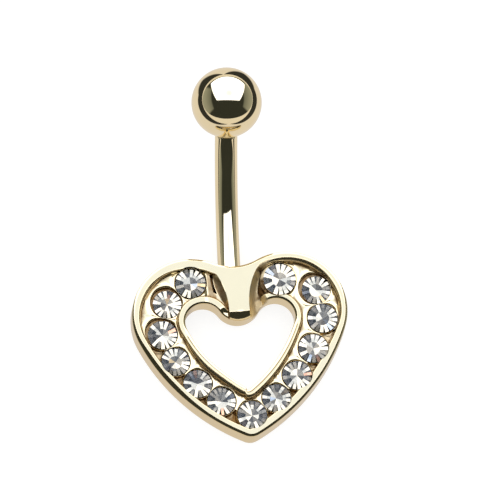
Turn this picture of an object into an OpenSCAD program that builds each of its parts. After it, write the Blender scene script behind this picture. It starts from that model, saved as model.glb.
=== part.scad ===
// Navel ring: a curved 14 gauge barbell with a screw-on ball at one end
// and an open heart, set with a single row of round stones, at the other.
// It lies on the heart's flat back, with the heart's front up. All sizes are in millimetres.
// The origin is on the heart's back, in the middle of the bridge that carries the bar.
// +Y runs from the heart's tip to its notch and on along the bar, and +Z is up.

/* [Heart outline] */
// Width over both lobes
heart_w = 15.35; // [14:0.05:16]
// Height from the notch down to the tip
heart_h = 12.6; // [11.6:0.1:14]
// Radius of each lobe
lobe_r = 4.25; // [3.8:0.05:4.6]
// Radius of the hollow between the lobes
notch_r = 3.6; // [2.2:0.1:5]
// Radius of the long curve down each side
side_r = 14.75; // [12:0.25:22]
// Radius of the tip
tip_r = 1; // [0.8:0.05:1.6]

/* [Set band] */
// Width of the band at the sides, from the outline to the opening
band_side = 3.75; // [3.5:0.05:4]
// Width of the band at the notch, which is the length of the bridge
band_notch = 3.95; // [3.6:0.05:4.2]
// Width of the band at the tip
band_tip = 3.5; // [3.2:0.05:3.8]
// Radius of the opening's lobes
hole_lobe_r = 1.35; // [1.2:0.05:1.5]
// Radius of the rounded point between the opening's lobes
hole_notch_r = 1.7; // [1.3:0.1:2.2]
// Radius of the opening's long sides
hole_side_r = 10.6; // [9:0.2:16]
// Radius at the opening's tip
hole_tip_r = 0.3; // [0.15:0.05:0.6]

/* [Rims and land] */
// Height of the outer rim and of the bridge above the back
rim_h = 1.8; // [1.7:0.05:2.1]
// Width of the outer rim
rim_w = 0.58; // [0.45:0.01:0.7]
// Height of the inner rim above the back
inner_rim_h = 1.7; // [1.55:0.05:1.8]
// Width of the inner rim
inner_rim_w = 0.5; // [0.4:0.01:0.6]
// Height above the back of the land between the rims
land_h = 1.3; // [1.2:0.02:1.4]

/* [Bridge] */
// Width of the bridge at its narrow end
bridge_w = 1.45; // [1.2:0.05:1.8]
// Radius of the bridge's hollow flanks, which widen it towards the notch
bridge_flank_r = 5.1; // [4:0.1:8]
// Distance from the narrow end to where the flanks start to widen
bridge_neck = 0.95; // [0.6:0.05:1.3]
// Run of the bevel that ends the bridge over the opening
bevel_run = 0.6; // [0.3:0.05:0.8]
// Drop of that bevel
bevel_drop = 0.3; // [0.2:0.05:0.45]

/* [Bar] */
// Thickness of the bar, 14 gauge
bar_d = 1.6; // [1.2:0.1:1.6]
// Straight length between the heart and the ball
bar_len = 9.65; // [8:0.05:12]
// Radius of the bar's bend
bar_bend_r = 12; // [10:0.5:20]
// Length of the bar's root inside the heart's rim
bar_root = 0.25; // [0.2:0.01:0.3]
// Gap between the bar's lowest point and the plane of the heart's back
bar_lift = 0.03; // [0.02:0.01:0.12]
// Sideways place of the bar on the notch
bar_shift = -0.36; // [-0.6:0.02:0.6]
// Sideways lean of the bar, in degrees
bar_lean = 3.25; // [-4:0.25:4]
// Angle at which the bar leaves the heart towards its back, in degrees
bar_dip = 8; // [0:0.5:9]

/* [Ball and thread] */
// Diameter of the ball
ball_d = 5; // [4:0.25:6]
// Diameter of the threaded end, as a plain pin
thread_d = 1.4; // [1:0.1:1.5]
// Length of the threaded end
thread_len = 2.6; // [2:0.1:2.9]
// Length of the threaded end's root inside the bar
thread_root = 0.5; // [0.3:0.1:0.6]
// Play between the threaded end and the ball's hole, on the radius
thread_play = 0.02; // [0.015:0.005:0.05]
// Gap between the bar's shoulder and the ball
ball_gap = 0.03; // [0.02:0.01:0.1]
// Depth that the ball's hole has beyond the threaded end
hole_spare = 0.35; // [0.2:0.05:0.6]

/* [Stones] */
// Diameter of a stone of the usual size
stone_d = 2.05; // [1.7:0.05:2.15]
// Smallest gap between two neighbours
stone_gap = 0.05; // [0.04:0.01:0.08]
// Distance from the outline to the line that the stones follow
seat_inset = 1.6; // [1.5:0.02:1.75]
// Play between a stone and its seat
seat_play = 0.04; // [0.02:0.01:0.06]
// Metal left under a stone's point
seat_floor = 0.1; // [0.06:0.01:0.2]
// Width of a stone's table, as a share of its diameter
table_share = 0.58; // [0.5:0.01:0.65]
// Height of a stone's crown, as a share of its diameter
crown_share = 0.15; // [0.12:0.01:0.18]
// Height of a stone's girdle, as a share of its diameter
girdle_share = 0.03; // [0.02:0.005:0.05]
// Depth of a stone's pavilion, as a share of its diameter
pavilion_share = 0.42; // [0.38:0.01:0.44]
// Shift of the stone at the tip to the right of the heart's axis, as a share of its diameter
tip_shift_share = 0.07; // [0:0.01:0.1]

/* [Hidden] */
$fn = 96;

// The row of stones, clockwise from the left of the bridge. Its columns are SIZE, the diameter
// as a share of stone_d, GAP, the gap to the next stone as a multiple of stone_gap, and IN,
// the shift from the seat line towards the opening as a share of stone_d.
SIZE = 0;
GAP = 1;
IN = 2;
STONES = [
    [1.06, 12, 0.05],
    [1.00, 15, 0.32],
    [1.03, 1.5, 0.11],
    [1.00, 3.5, -0.05],
    [1.00, 1, -0.02],
    [1.00, 6, -0.02],
    [1.03, 1, -0.04],
    [1.00, 3, -0.08],
    [1.03, 3.5, -0.07],
    [1.04, 4, -0.04],
    [1.04, 3.5, 0.05],
    [1.00, 17, 0.03],
    [1.14, 0, 0.14]
];
// The stone at the heart's tip, counted from 0
TIP_STONE = 6;
// Main facets round a stone
FACETS = 8;
// Turn from one stone to the next, in degrees
STONE_TURN = 16;
// Ring of points between a stone's table and girdle: reach past the middle, and height up the crown
STAR_REACH = 1.02;
STAR_RISE = 0.52;
// Ring of points on a stone's pavilion: distance from the axis as a share of the diameter,
// and depth as a share of the pavilion's
KEEL_REACH = 0.18;
KEEL_DEPTH = 0.655;
// Smallest radius left at a tip when an outline is drawn further in
LEAST_TIP_R = 0.35;
// Overlap of cutters past the faces that they cut
CUT = 1;
// Colours of the plated metal and the stones
GOLD = [0.93, 0.78, 0.42];
CLEAR = [0.88, 0.91, 0.95, 0.8];

notch_y = band_notch / 2;
bridge_end_y = notch_y - band_notch;
bar_r = bar_d / 2;
bar_z = bar_lift + bar_r + bar_bend_r * (1 - cos(bar_dip));
bar_turn = 2 * asin(bar_len / (2 * bar_bend_r));
root_turn = bar_root / bar_bend_r * 180 / PI;
ball_r = ball_d / 2;
ball_reach = ball_gap + sqrt(pow(ball_r, 2) - pow(bar_r, 2));
ball_hole_r = thread_d / 2 + thread_play;
ball_hole_depth = thread_len - ball_gap + hole_spare;

// Where two circles meet, on the left of the line from the first centre to the second
function circles_meet(p, r_p, q, r_q) =
    let (
        span = norm(q - p),
        along = (r_p * r_p - r_q * r_q + span * span) / (2 * span),
        across = sqrt(r_p * r_p - along * along),
        dir = (q - p) / span
    )
    p + along * dir + across * [dir.y, -dir.x];

// A heart outline is four arcs, each [centre, radius], in the order notch, lobe, side, tip.
// They are those of the right half, and the left half mirrors them.
NOTCH = 0;
LOBE = 1;
SIDE = 2;
TIP = 3;
function heart_arcs(w, h, lobe, notch, side, tip, top) =
    let (
        lobe_x = w / 2 - lobe,
        lobe_c = [lobe_x, top + notch - sqrt(pow(lobe + notch, 2) - pow(lobe_x, 2))],
        tip_c = [0, top - h + tip],
        side_c = circles_meet(lobe_c, side - lobe, tip_c, side - tip)
    )
    [[[0, top + notch], notch], [lobe_c, lobe], [side_c, side], [tip_c, tip]];

// The same outline drawn d further in, or further out where d is negative
function inset(arcs, d) =
    let (
        side_c = arcs[SIDE][0],
        side = arcs[SIDE][1] - d,
        tip = max(arcs[TIP][1] - d, LEAST_TIP_R),
        tip_y = side_c.y - sqrt(pow(side - tip, 2) - pow(side_c.x, 2))
    )
    [
        [arcs[NOTCH][0], arcs[NOTCH][1] + d],
        [arcs[LOBE][0], arcs[LOBE][1] - d],
        [side_c, side],
        [[0, tip_y], tip]
    ];

outline = heart_arcs(heart_w, heart_h, lobe_r, notch_r, side_r, tip_r, notch_y);
opening = heart_arcs(
    heart_w - 2 * band_side, heart_h - band_notch - band_tip,
    hole_lobe_r, hole_notch_r, hole_side_r, hole_tip_r, bridge_end_y
);
seat_line = inset(outline, seat_inset);

// Direction of a vector, in degrees from 0 up to 360
function heading(v) = (atan2(v.y, v.x) + 360) % 360;

// The arcs of the right half, walked from the tip up to the notch: [centre, radius, start, end]
function walk(arcs) =
    let (
        notch_c = arcs[NOTCH][0],
        lobe_c = arcs[LOBE][0],
        side_c = arcs[SIDE][0],
        tip_c = arcs[TIP][0],
        tip_to_side = heading(tip_c - side_c) - 360,
        side_to_lobe = heading(lobe_c - side_c) - 360,
        lobe_to_notch = heading(notch_c - lobe_c)
    )
    [
        [tip_c, arcs[TIP][1], -90, tip_to_side],
        [side_c, arcs[SIDE][1], tip_to_side, side_to_lobe],
        [lobe_c, arcs[LOBE][1], side_to_lobe, lobe_to_notch],
        [notch_c, arcs[NOTCH][1], lobe_to_notch - 180, -90]
    ];

// Length of a walked arc
function arc_len(a) = a[1] * abs(a[3] - a[2]) * PI / 180;

// Point at distance s along the walked arcs, moved towards the opening by inward
function point_on(arcs, s, inward, i = 0) =
    (s > arc_len(arcs[i]) && i < len(arcs) - 1)
        ? point_on(arcs, s - arc_len(arcs[i]), inward, i + 1)
        : let (
            arc = arcs[i],
            way = sign(arc[3] - arc[2]),
            angle = arc[2] + way * s / arc[1] * 180 / PI,
            radius = arc[1] - way * inward
        )
        arc[0] + radius * [cos(angle), sin(angle)];

// Sum of a list's values from index a up to but not including index b
function sum_of(list, a, b) = a >= b ? 0 : list[a] + sum_of(list, a + 1, b);

// Distance along the seat line from each stone to the next
stone_steps = [
    for (i = [0 : len(STONES) - 2])
        (STONES[i][SIZE] + STONES[i + 1][SIZE]) / 2 * stone_d + STONES[i][GAP] * stone_gap
];

// Signed distance of a stone from the tip along the seat line, negative on the left
function stone_along(i) =
    stone_size(TIP_STONE) * tip_shift_share
    + sum_of(stone_steps, TIP_STONE, i) - sum_of(stone_steps, i, TIP_STONE);

// Diameter and centre of a stone
function stone_size(i) = STONES[i][SIZE] * stone_d;
function stone_place(i) =
    let (
        s = stone_along(i),
        p = point_on(walk(seat_line), abs(s), STONES[i][IN] * stone_d)
    )
    [s < 0 ? -p.x : p.x, p.y];

// Height of the lower edge of a stone's girdle
function girdle_z(i) = seat_floor + seat_play + pavilion_share * stone_size(i);

// Filled heart, from its four arcs
module heart_shape(arcs) {
    notch_c = arcs[NOTCH][0];
    notch = arcs[NOTCH][1];
    lobe_c = arcs[LOBE][0];
    lobe = arcs[LOBE][1];
    side_c = arcs[SIDE][0];
    side = arcs[SIDE][1];
    tip_c = arcs[TIP][0];
    to_lobe = (lobe_c - side_c) / norm(lobe_c - side_c);
    to_tip = (tip_c - side_c) / norm(tip_c - side_c);
    notch_end = notch_c + notch * (lobe_c - notch_c) / norm(lobe_c - notch_c);
    reach = side + lobe;
    difference() {
        union() {
            for (flip = [[1, 1], [-1, 1]]) {
                translate([flip.x * lobe_c.x, lobe_c.y])
                    circle(lobe);
                intersection() {
                    translate([flip.x * side_c.x, side_c.y])
                        circle(side);
                    polygon([
                        for (p = [lobe_c, side_c + reach * to_lobe, side_c + reach * to_tip, tip_c])
                            [flip.x * p.x, p.y]
                    ]);
                }
            }
            translate(tip_c)
                circle(arcs[TIP][1]);
            polygon([
                notch_end, lobe_c, tip_c, [-lobe_c.x, lobe_c.y], [-notch_end.x, notch_end.y]
            ]);
        }
        translate(notch_c)
            circle(notch);
    }
}

// Flat shape of the bridge, before the outline and the opening trim it
module bridge_shape() {
    flank_x = bridge_w / 2 + bridge_flank_r;
    flank_y = bridge_end_y + bridge_neck;
    translate([-bridge_w / 2, bridge_end_y - CUT])
        square([bridge_w, bridge_neck + 2 * CUT]);
    difference() {
        translate([-flank_x, flank_y])
            square([2 * flank_x, bridge_flank_r]);
        for (flip = [-1, 1])
            translate([flip * flank_x, flank_y])
                circle(bridge_flank_r);
    }
}

// Seat of one stone: a round well down to the girdle, and a cone under it
module seat(i) {
    r = stone_size(i) / 2 + seat_play;
    translate(stone_place(i)) {
        translate([0, 0, girdle_z(i) - seat_play])
            cylinder(h = rim_h + CUT, r = r);
        translate([0, 0, seat_floor])
            cylinder(h = girdle_z(i) - seat_play - seat_floor, r1 = seat_play, r2 = r);
    }
}

// Heart casting: the plate, both rims and the bridge, with the seats cut in
module casting() {
    difference() {
        union() {
            linear_extrude(land_h)
                heart_shape(outline);
            linear_extrude(rim_h)
                difference() {
                    heart_shape(outline);
                    heart_shape(inset(outline, rim_w));
                }
            linear_extrude(inner_rim_h)
                heart_shape(inset(opening, -inner_rim_w));
            linear_extrude(rim_h)
                intersection() {
                    heart_shape(outline);
                    bridge_shape();
                }
        }
        translate([0, 0, -CUT])
            linear_extrude(rim_h + 2 * CUT)
                heart_shape(opening);
        bevel_cutter();
        for (i = [0 : len(STONES) - 1])
            seat(i);
    }
}

// Wedge that bevels the end of the bridge over the opening
module bevel_cutter() {
    translate([-bridge_w, bridge_end_y, rim_h])
        rotate([90, 0, 90])
            linear_extrude(2 * bridge_w)
                polygon([
                    [bevel_run, 0], [bevel_run, CUT], [-bevel_run, CUT], [-bevel_run, -2 * bevel_drop]
                ]);
}

// Moves children, with the bar along +Y and bending up, to the bar's start on the notch
module at_bar_start() {
    translate([bar_shift, notch_y, bar_z])
        rotate([0, 0, -bar_lean])
            rotate([-bar_dip, 0, 0])
                children();
}

// Moves children, with the bar's axis up, to the bar's end
module at_bar_end() {
    at_bar_start()
        translate([0, bar_bend_r * sin(bar_turn), bar_bend_r * (1 - cos(bar_turn))])
            rotate([bar_turn - 90, 0, 0])
                children();
}

// Curved bar, from its root in the heart's rim to its threaded end
module bar() {
    at_bar_start()
        translate([0, 0, bar_bend_r])
            rotate([0, 90, 0])
                rotate_extrude(angle = root_turn + bar_turn, start = -root_turn)
                    translate([bar_bend_r, 0])
                        circle(bar_r);
    at_bar_end()
        translate([0, 0, -thread_root])
            cylinder(h = thread_root + thread_len, d = thread_d);
}

// Heart and bar, soldered into one piece
module heart_bar() {
    color(GOLD) {
        casting();
        bar();
    }
}

// Screw-on ball, with a flat seat and a blind hole
module ball() {
    color(GOLD)
        at_bar_end()
            difference() {
                translate([0, 0, ball_reach])
                    sphere(ball_r);
                translate([-ball_r, -ball_r, ball_gap - ball_d])
                    cube([ball_d, ball_d, ball_d]);
                cylinder(h = ball_gap + ball_hole_depth, r = ball_hole_r);
            }
}

// Round brilliant of diameter d, with the lower edge of its girdle at z = 0
module brilliant(d) {
    step = 360 / FACETS;
    crown = crown_share * d;
    girdle = girdle_share * d;
    pavilion = pavilion_share * d;
    star_r = (1 + table_share) / 4 * d * STAR_REACH;
    star_z = girdle + crown * STAR_RISE;
    keel_r = KEEL_REACH * d;
    keel_z = -pavilion * KEEL_DEPTH;
    function ring(r, z, count, turn) =
        [for (k = [0 : count - 1]) let (a = k * 360 / count + turn) [r * cos(a), r * sin(a), z]];
    points = concat(
        ring(table_share * d / 2, girdle + crown, FACETS, 0),
        ring(star_r, star_z, FACETS, step / 2),
        ring(d / 2, girdle, 2 * FACETS, 0),
        ring(d / 2, 0, 2 * FACETS, 0),
        ring(keel_r, keel_z, FACETS, step / 2),
        [[0, 0, -pavilion]]
    );
    table_i = 0;
    star_i = FACETS;
    top_i = 2 * FACETS;
    low_i = 4 * FACETS;
    keel_i = 6 * FACETS;
    point_i = 7 * FACETS;
    faces = concat(
        [[for (k = [FACETS - 1 : -1 : 0]) table_i + k]],
        [for (k = [0 : FACETS - 1]) let (n = (k + 1) % FACETS)
            [star_i + k, table_i + k, table_i + n]],
        [for (k = [0 : FACETS - 1]) let (b = (k + FACETS - 1) % FACETS)
            [table_i + k, star_i + k, top_i + 2 * k, star_i + b]],
        [for (k = [0 : FACETS - 1])
            [star_i + k, top_i + 2 * k + 1, top_i + 2 * k]],
        [for (k = [0 : FACETS - 1])
            [star_i + k, top_i + (2 * k + 2) % (2 * FACETS), top_i + 2 * k + 1]],
        [for (k = [0 : 2 * FACETS - 1]) let (n = (k + 1) % (2 * FACETS))
            [top_i + k, top_i + n, low_i + n, low_i + k]],
        [for (k = [0 : FACETS - 1])
            [keel_i + k, low_i + 2 * k, low_i + 2 * k + 1]],
        [for (k = [0 : FACETS - 1])
            [keel_i + k, low_i + 2 * k + 1, low_i + (2 * k + 2) % (2 * FACETS)]],
        [for (k = [0 : FACETS - 1]) let (b = (k + FACETS - 1) % FACETS)
            [low_i + 2 * k, keel_i + k, point_i, keel_i + b]]
    );
    polyhedron(points, faces);
}

// One stone in its seat, turned a little more than its neighbour
module stone(i) {
    color(CLEAR)
        translate(concat(stone_place(i), girdle_z(i)))
            rotate(i * STONE_TURN)
                brilliant(stone_size(i));
}

heart_bar();
ball();
stone(0);  // stone_01
stone(1);  // stone_02
stone(2);  // stone_03
stone(3);  // stone_04
stone(4);  // stone_05
stone(5);  // stone_06
stone(6);  // stone_07
stone(7);  // stone_08
stone(8);  // stone_09
stone(9);  // stone_10
stone(10);  // stone_11
stone(11);  // stone_12
stone(12);  // stone_13
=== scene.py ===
"""Navel ring: a curved bar with a screw-on ball at one end and an open heart, set with a row
of round stones, at the other.

Each surface is worked out with numpy in millimetres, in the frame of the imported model: the
origin is on the heart's flat back, +Y runs from the heart's tip to its notch and on along the
bar, and +Z is up. Meshes are scaled to metres as they are made.

A place round the heart is called v. It is 0 at the notch's middle and 4 at the tip, passes the
ends of the right lobe at 1 and 2, and comes back up the left half to 8. A span is a pair of
values, and a smooth step runs from its first to its second.
"""

import math

import bmesh
import bpy
import numpy as np
from mathutils import Matrix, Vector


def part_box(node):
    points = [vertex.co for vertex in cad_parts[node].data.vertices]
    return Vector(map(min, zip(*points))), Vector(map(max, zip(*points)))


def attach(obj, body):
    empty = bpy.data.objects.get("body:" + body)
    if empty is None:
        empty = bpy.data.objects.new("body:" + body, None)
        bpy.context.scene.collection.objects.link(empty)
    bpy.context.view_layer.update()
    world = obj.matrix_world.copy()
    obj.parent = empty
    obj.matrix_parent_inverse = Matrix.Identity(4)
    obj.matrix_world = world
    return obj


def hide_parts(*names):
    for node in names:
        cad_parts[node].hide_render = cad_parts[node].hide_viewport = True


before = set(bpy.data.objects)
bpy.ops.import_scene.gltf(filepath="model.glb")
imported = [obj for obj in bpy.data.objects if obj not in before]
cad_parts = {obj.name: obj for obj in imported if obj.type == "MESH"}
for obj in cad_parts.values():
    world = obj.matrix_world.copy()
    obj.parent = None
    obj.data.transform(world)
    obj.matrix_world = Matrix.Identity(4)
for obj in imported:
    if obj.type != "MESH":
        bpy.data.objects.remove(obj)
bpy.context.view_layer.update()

MM = 0.001
FULL_TURN = 2 * math.pi

# Sizes of the heart, in millimetres

# An outline: width, height, then the radii of its lobes, notch, sides and tip, and the height of
# its notch above the origin.
OUTLINE = dict(width=15.35, height=12.6, lobe=4.25, notch=3.6, side=14.75, tip=1.0, top=1.975)
OPENING = dict(width=7.85, height=5.15, lobe=1.35, notch=1.7, side=10.6, tip=0.3, top=-1.975)
LEAST_TIP = 0.35

RIM_TOP = 1.8
RIM_WIDTH = 0.58
INNER_TOP = 1.7
INNER_WIDTH = 0.5
LAND = 1.3

# The bridge's flat top, the circle along which it widens, and the bevel over the opening
BRIDGE_HALF = 0.725
BRIDGE_END = -1.975
FLANK_RADIUS = 5.1
FLANK_START = -1.025
FLANK_SWEEP = 0.98
BEVEL_RUN = 0.6
BEVEL_DROP = 0.3
BEVEL_CRISP = 60

# Sideways run of the flanks. The right one grows in three steps on its way down to the opening:
# how much, and over which heights. The left one swells in its middle alone.
RIGHT_RUN = 0.14
RIGHT_STEPS = [(0.32, (1.9, 1.2)), (0.10, (1.4, 0.2)), (0.40, (0.3, -0.9))]
LEFT_RUN = 0.12
LEFT_SWELL = 0.48
SWELL_TOP = 1.7
SWELL_LENGTH = 2.8
SWELL_SKEW = 0.9
SWELL_POWER = 1.1

# Seats and stones. The pavilion, all that lies above it, the side band and the crown are shares
# of a stone's diameter; the table, the star and the foiled back's depth are shares of its radius.
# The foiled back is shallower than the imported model's pavilion.
SEAT_PLAY = 0.04
SEAT_FLOOR = 0.1
PAVILION = 0.42
STONE_TOP = 0.18
GIRDLE = 0.03
CROWN = 0.035
TABLE = 0.70
STAR = 0.46
BACK_DEPTH = 0.14

# Seats that are opened wider than their stone, by the stone's number: shift and extra radius
OPENED = {2: (-0.03, 0.11, 0.09), 3: (-0.07, 0.10, 0.08), 12: (-0.10, 0.10, 0.09),
          13: (-0.11, 0.0, 0.07)}


def rounded(values, span):
    """Smooth step from 0 to 1 as the values run over the span: three times the share squared, less
    twice the share cubed."""
    t = np.clip((values - span[0]) / (span[1] - span[0]), 0, 1)
    return t * t * (3 - 2 * t)


def between(values, rise, fall):
    """A smooth step up over the first span and down again over the second."""
    return rounded(values, rise) * (1 - rounded(values, fall))


def quarter(count):
    """Evenly spaced angles over a quarter turn."""
    return np.linspace(0, math.pi / 2, count)


# Outlines of the heart and of its opening

WALK_SAMPLES = 3201
NEAREST_SAMPLES = 1601
LINE_SAMPLES = 3601
LINE_SEARCH = 0.9


def heart_arcs(width, height, lobe, notch, side, tip, top):
    """Four arcs of a heart's right half, each a centre x, a centre y and a radius: notch, lobe,
    side, tip. Each arc runs on smoothly from the last. The side's centre is where a circle of
    radius side - lobe about the lobe meets one of radius side - tip about the tip."""
    lobe_x = width / 2 - lobe
    lobe_y = top + notch - math.sqrt((lobe + notch) ** 2 - lobe_x ** 2)
    tip_y = top - height + tip
    span = math.hypot(lobe_x, tip_y - lobe_y)
    along = ((side - lobe) ** 2 - (side - tip) ** 2 + span ** 2) / (2 * span)
    across = math.sqrt((side - lobe) ** 2 - along ** 2)
    way_x, way_y = -lobe_x / span, (tip_y - lobe_y) / span
    side_x = lobe_x + along * way_x + across * way_y
    side_y = lobe_y + along * way_y - across * way_x
    return [(0.0, top + notch, notch), (lobe_x, lobe_y, lobe), (side_x, side_y, side), (0.0, tip_y, tip)]


OUTER = heart_arcs(**OUTLINE)
INNER = heart_arcs(**OPENING)


def heart_point(arcs, v, inward):
    """Points of the outline drawn `inward` further in. Each whole step of v is one arc: the centre
    plus the radius times the cosine and sine of an angle that runs evenly from the arc's start to
    its end. A hollow arc grows by `inward`, the others shrink by it, and the left half mirrors."""
    (_, ny, nr), (lx, ly, lr), (sx, sy, sr), (_, _, tr) = arcs
    v, inward = np.broadcast_arrays(np.asarray(v, float), np.asarray(inward, float))
    u = np.minimum(v, 8 - v)
    leg = np.clip(u.astype(int), 0, 3)
    tip_r = np.maximum(tr - inward, LEAST_TIP)
    tip_y = sy - np.sqrt((sr - inward - tip_r) ** 2 - sx ** 2)
    to_lobe = math.atan2(ly - ny, lx)
    to_side = math.atan2(ly - sy, lx - sx)
    to_tip = np.arctan2(tip_y - sy, -sx)
    start = np.choose(leg, [-math.pi / 2, to_lobe + math.pi, to_side, to_tip])
    end = np.choose(leg, [to_lobe, to_side, to_tip, -math.pi / 2])
    angle = start + (u - leg) * (end - start)
    radius = np.choose(leg, [nr + inward, lr - inward, sr - inward, tip_r])
    x = np.choose(leg, [0.0, lx, sx, 0.0]) + radius * np.cos(angle)
    y = np.choose(leg, [ny, ly, sy, tip_y]) + radius * np.sin(angle)
    return np.stack([np.where(v > 4, -x, x), y], -1)


def walk_table(arcs, inward):
    """Distance walked round an offset outline against v, as two arrays to look up either from the
    other."""
    v = np.linspace(0, 8, WALK_SAMPLES)
    p = heart_point(arcs, v, inward)
    steps = np.linalg.norm(np.diff(p, axis=0), axis=1)
    return v, np.concatenate([[0], np.cumsum(steps)])


def line_meets(arcs, inward, through, way, near):
    """Place v, near the given one, where an offset outline crosses a straight line: the sign of
    the cross product changes there."""
    v = np.linspace(near - LINE_SEARCH, near + LINE_SEARCH, LINE_SAMPLES)
    p = heart_point(arcs, np.clip(v, 0, 8), inward) - through
    cross = p[:, 0] * way[1] - p[:, 1] * way[0]
    turns = np.nonzero(np.sign(cross[:-1]) != np.sign(cross[1:]))[0]
    best = turns[np.argmin(np.abs(v[turns] - near))]
    share = cross[best] / (cross[best] - cross[best + 1])
    return v[best] + share * (v[best + 1] - v[best])


def nearest_v(arcs, inward, point):
    """Place v on an offset outline that is nearest to a point."""
    v = np.linspace(0, 8, NEAREST_SAMPLES)
    return v[np.argmin(np.linalg.norm(heart_point(arcs, v, inward) - point, axis=1))]


# The row of stones and its seats

# Nodes of the row, from the right of the bridge round to its left
STONE_NODES = [f"stone_{n:02d}" for n in range(13, 0, -1)]


def stone_sizes():
    """Centre x, centre y and radius of each stone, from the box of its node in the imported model."""
    rows = []
    for name in STONE_NODES:
        low, high = (np.array(corner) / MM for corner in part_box(name))
        mid = (low + high) / 2
        depth = (high[2] - low[2]) / (STONE_TOP + PAVILION)
        rows.append((mid[0], mid[1], depth / 2))
    return np.array(rows)


STONES = stone_sizes()
SEATS = STONES + [0, 0, SEAT_PLAY]
for stone, opened in OPENED.items():
    SEATS[len(SEATS) - stone] += opened

FAR = 9.0


def seat_limit(points, ways):
    """Distance from each point along its way to the nearest seat's circle, where it meets one:
    the nearer root of |p + d w - c| = r."""
    gap = SEATS[None, :, :2] - points[:, None, :]
    ahead = (gap * ways[:, None, :]).sum(-1)
    inside = ahead ** 2 - (gap ** 2).sum(-1) + SEATS[None, :, 2] ** 2
    root = ahead - np.sqrt(np.maximum(inside, 0))
    return np.where((inside > 0) & (ahead > 0), root, FAR).min(1)


# The bridge and its flanks

COLUMN_SEARCH = 1.6
HALVINGS = 40


def flank_half(y):
    """Half width of the bridge's flat top at height y: straight at the opening's end, then
    widening along a circle that is tangent to the straight part."""
    rise = np.clip(y - FLANK_START, 0, FLANK_RADIUS * FLANK_SWEEP)
    return BRIDGE_HALF + FLANK_RADIUS - np.sqrt(FLANK_RADIUS ** 2 - rise ** 2)


def flank_run(y, side):
    """Sideways run of the bridge's flank from its top edge to its foot: on the right a sum of
    smooth steps, on the left a sine raised to a power."""
    right = RIGHT_RUN + sum(growth * rounded(y, span) for growth, span in RIGHT_STEPS)
    share = np.clip((SWELL_TOP - y) / SWELL_LENGTH, 0, 1)
    left = LEFT_RUN + LEFT_SWELL * np.sin(math.pi * share ** SWELL_SKEW) ** SWELL_POWER
    return np.where(side > 0, right, left)


def bridge_line(y, across):
    """Sideways place at height y of a line down the bridge: `across` times the half width of its
    top up to 1, and past 1 out over the flank's run. It is less than 0 on the left."""
    reach = np.abs(across)
    half = flank_half(y)
    out = np.where(reach <= 1, reach * half, half + (reach - 1) * flank_run(y, across))
    return np.sign(across) * out


def bridge_top(y):
    """Height of the bridge's top: flat, then falling along the bevel over the opening. The break
    between the two is softened by the logarithm of one plus an exponential."""
    over = BRIDGE_END + BEVEL_RUN - y
    return RIM_TOP - BEVEL_DROP / BEVEL_RUN * np.logaddexp(0, over * BEVEL_CRISP) / BEVEL_CRISP


def beside_bridge(xy):
    """How far each point lies out from the edge of the bridge's top, and how far past the foot of
    its flank."""
    out = np.abs(xy[:, 0]) - flank_half(xy[:, 1])
    return out, out - flank_run(xy[:, 1], xy[:, 0])


def column_on(arcs, inward, across):
    """Place v where the bridge's lines meet an offset outline, found by halving the range again
    and again, for all lines and offsets at once."""
    low = np.zeros(np.broadcast(across, inward).shape)
    high = low + COLUMN_SEARCH
    for _ in range(HALVINGS):
        mid = (low + high) / 2
        p = heart_point(arcs, mid, inward)
        beyond = p[..., 0] > np.abs(bridge_line(p[..., 1], across))
        high = np.where(beyond, mid, high)
        low = np.where(beyond, low, mid)
    v = (low + high) / 2
    return np.where(np.sign(across) < 0, 8 - v, v)


# Form of the two rims

# By place v: where the crest ends, the shoulder's run beside it, and the width of the bevel along
# the free edge. Between the places the values change evenly.
OUTER_PLACES = np.array([
    (0.8, 0.40, 0.20, 0.09), (1.1, 0.36, 0.36, 0.10), (1.5, 0.27, 0.46, 0.10), (1.9, 0.36, 0.20, 0.12),
    (2.2, 0.56, 0.12, 0.13), (3.6, 0.58, 0.12, 0.14), (4.4, 0.47, 0.14, 0.14), (5.3, 0.48, 0.12, 0.16),
    (5.6, 0.49, 0.12, 0.27), (5.9, 0.46, 0.14, 0.25), (6.15, 0.43, 0.18, 0.13), (6.45, 0.43, 0.26, 0.10),
    (6.75, 0.66, 0.10, 0.09), (7.2, 0.68, 0.08, 0.08),
])
INNER_PLACES = np.array([
    (0.8, 0.38, 0.14, 0.06), (1.5, 0.36, 0.16, 0.12), (2.2, 0.34, 0.18, 0.12), (3.0, 0.35, 0.32, 0.09),
    (4.0, 0.30, 0.36, 0.09), (4.6, 0.20, 0.38, 0.09), (5.0, 0.17, 0.44, 0.09), (5.5, 0.22, 0.44, 0.10),
    (5.95, 0.36, 0.14, 0.11), (6.4, 0.48, 0.10, 0.11), (7.0, 0.42, 0.12, 0.06),
])

# Drop of the shoulders, deeper over the right lobe, and run of the channel wall below them
OUTER_DROP = 0.30
LOBE_DROP = 0.12
LOBE_FROM = (0.8, 1.1)
LOBE_TO = (1.7, 2.1)
INNER_DROP = 0.32
WALL_RUN = 0.06

# The inner rim leans into the opening down its left side, and carries a fine groove
LEAN = 0.13
LEAN_FROM = (4.1, 4.6)
LEAN_TO = (5.2, 5.7)
GROOVE = 0.035
GROOVE_FROM = (1.8, 2.2)
GROOVE_TO = (5.8, 6.1)

# Rows of a rim's section, from the foot of its channel wall to the back
WALL_ROWS = 5
SHOULDER_ROWS = 9
TOP_ROWS = 5
EDGE_ROWS = 9
SIDE_ROWS = 6
FOOT_ROWS = 5
UPPER_ROWS = WALL_ROWS + SHOULDER_ROWS
LOWER_ROWS = SIDE_ROWS + FOOT_ROWS
GROOVE_ROW = TOP_ROWS - 2

# The free edge's bevel with its two roundings, and the rounding at the back
EDGE_TILT = math.radians(26)
EDGE_SOFT = 0.06
EDGE_HARD = 0.05
FOOT_SOFT = 0.06

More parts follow.
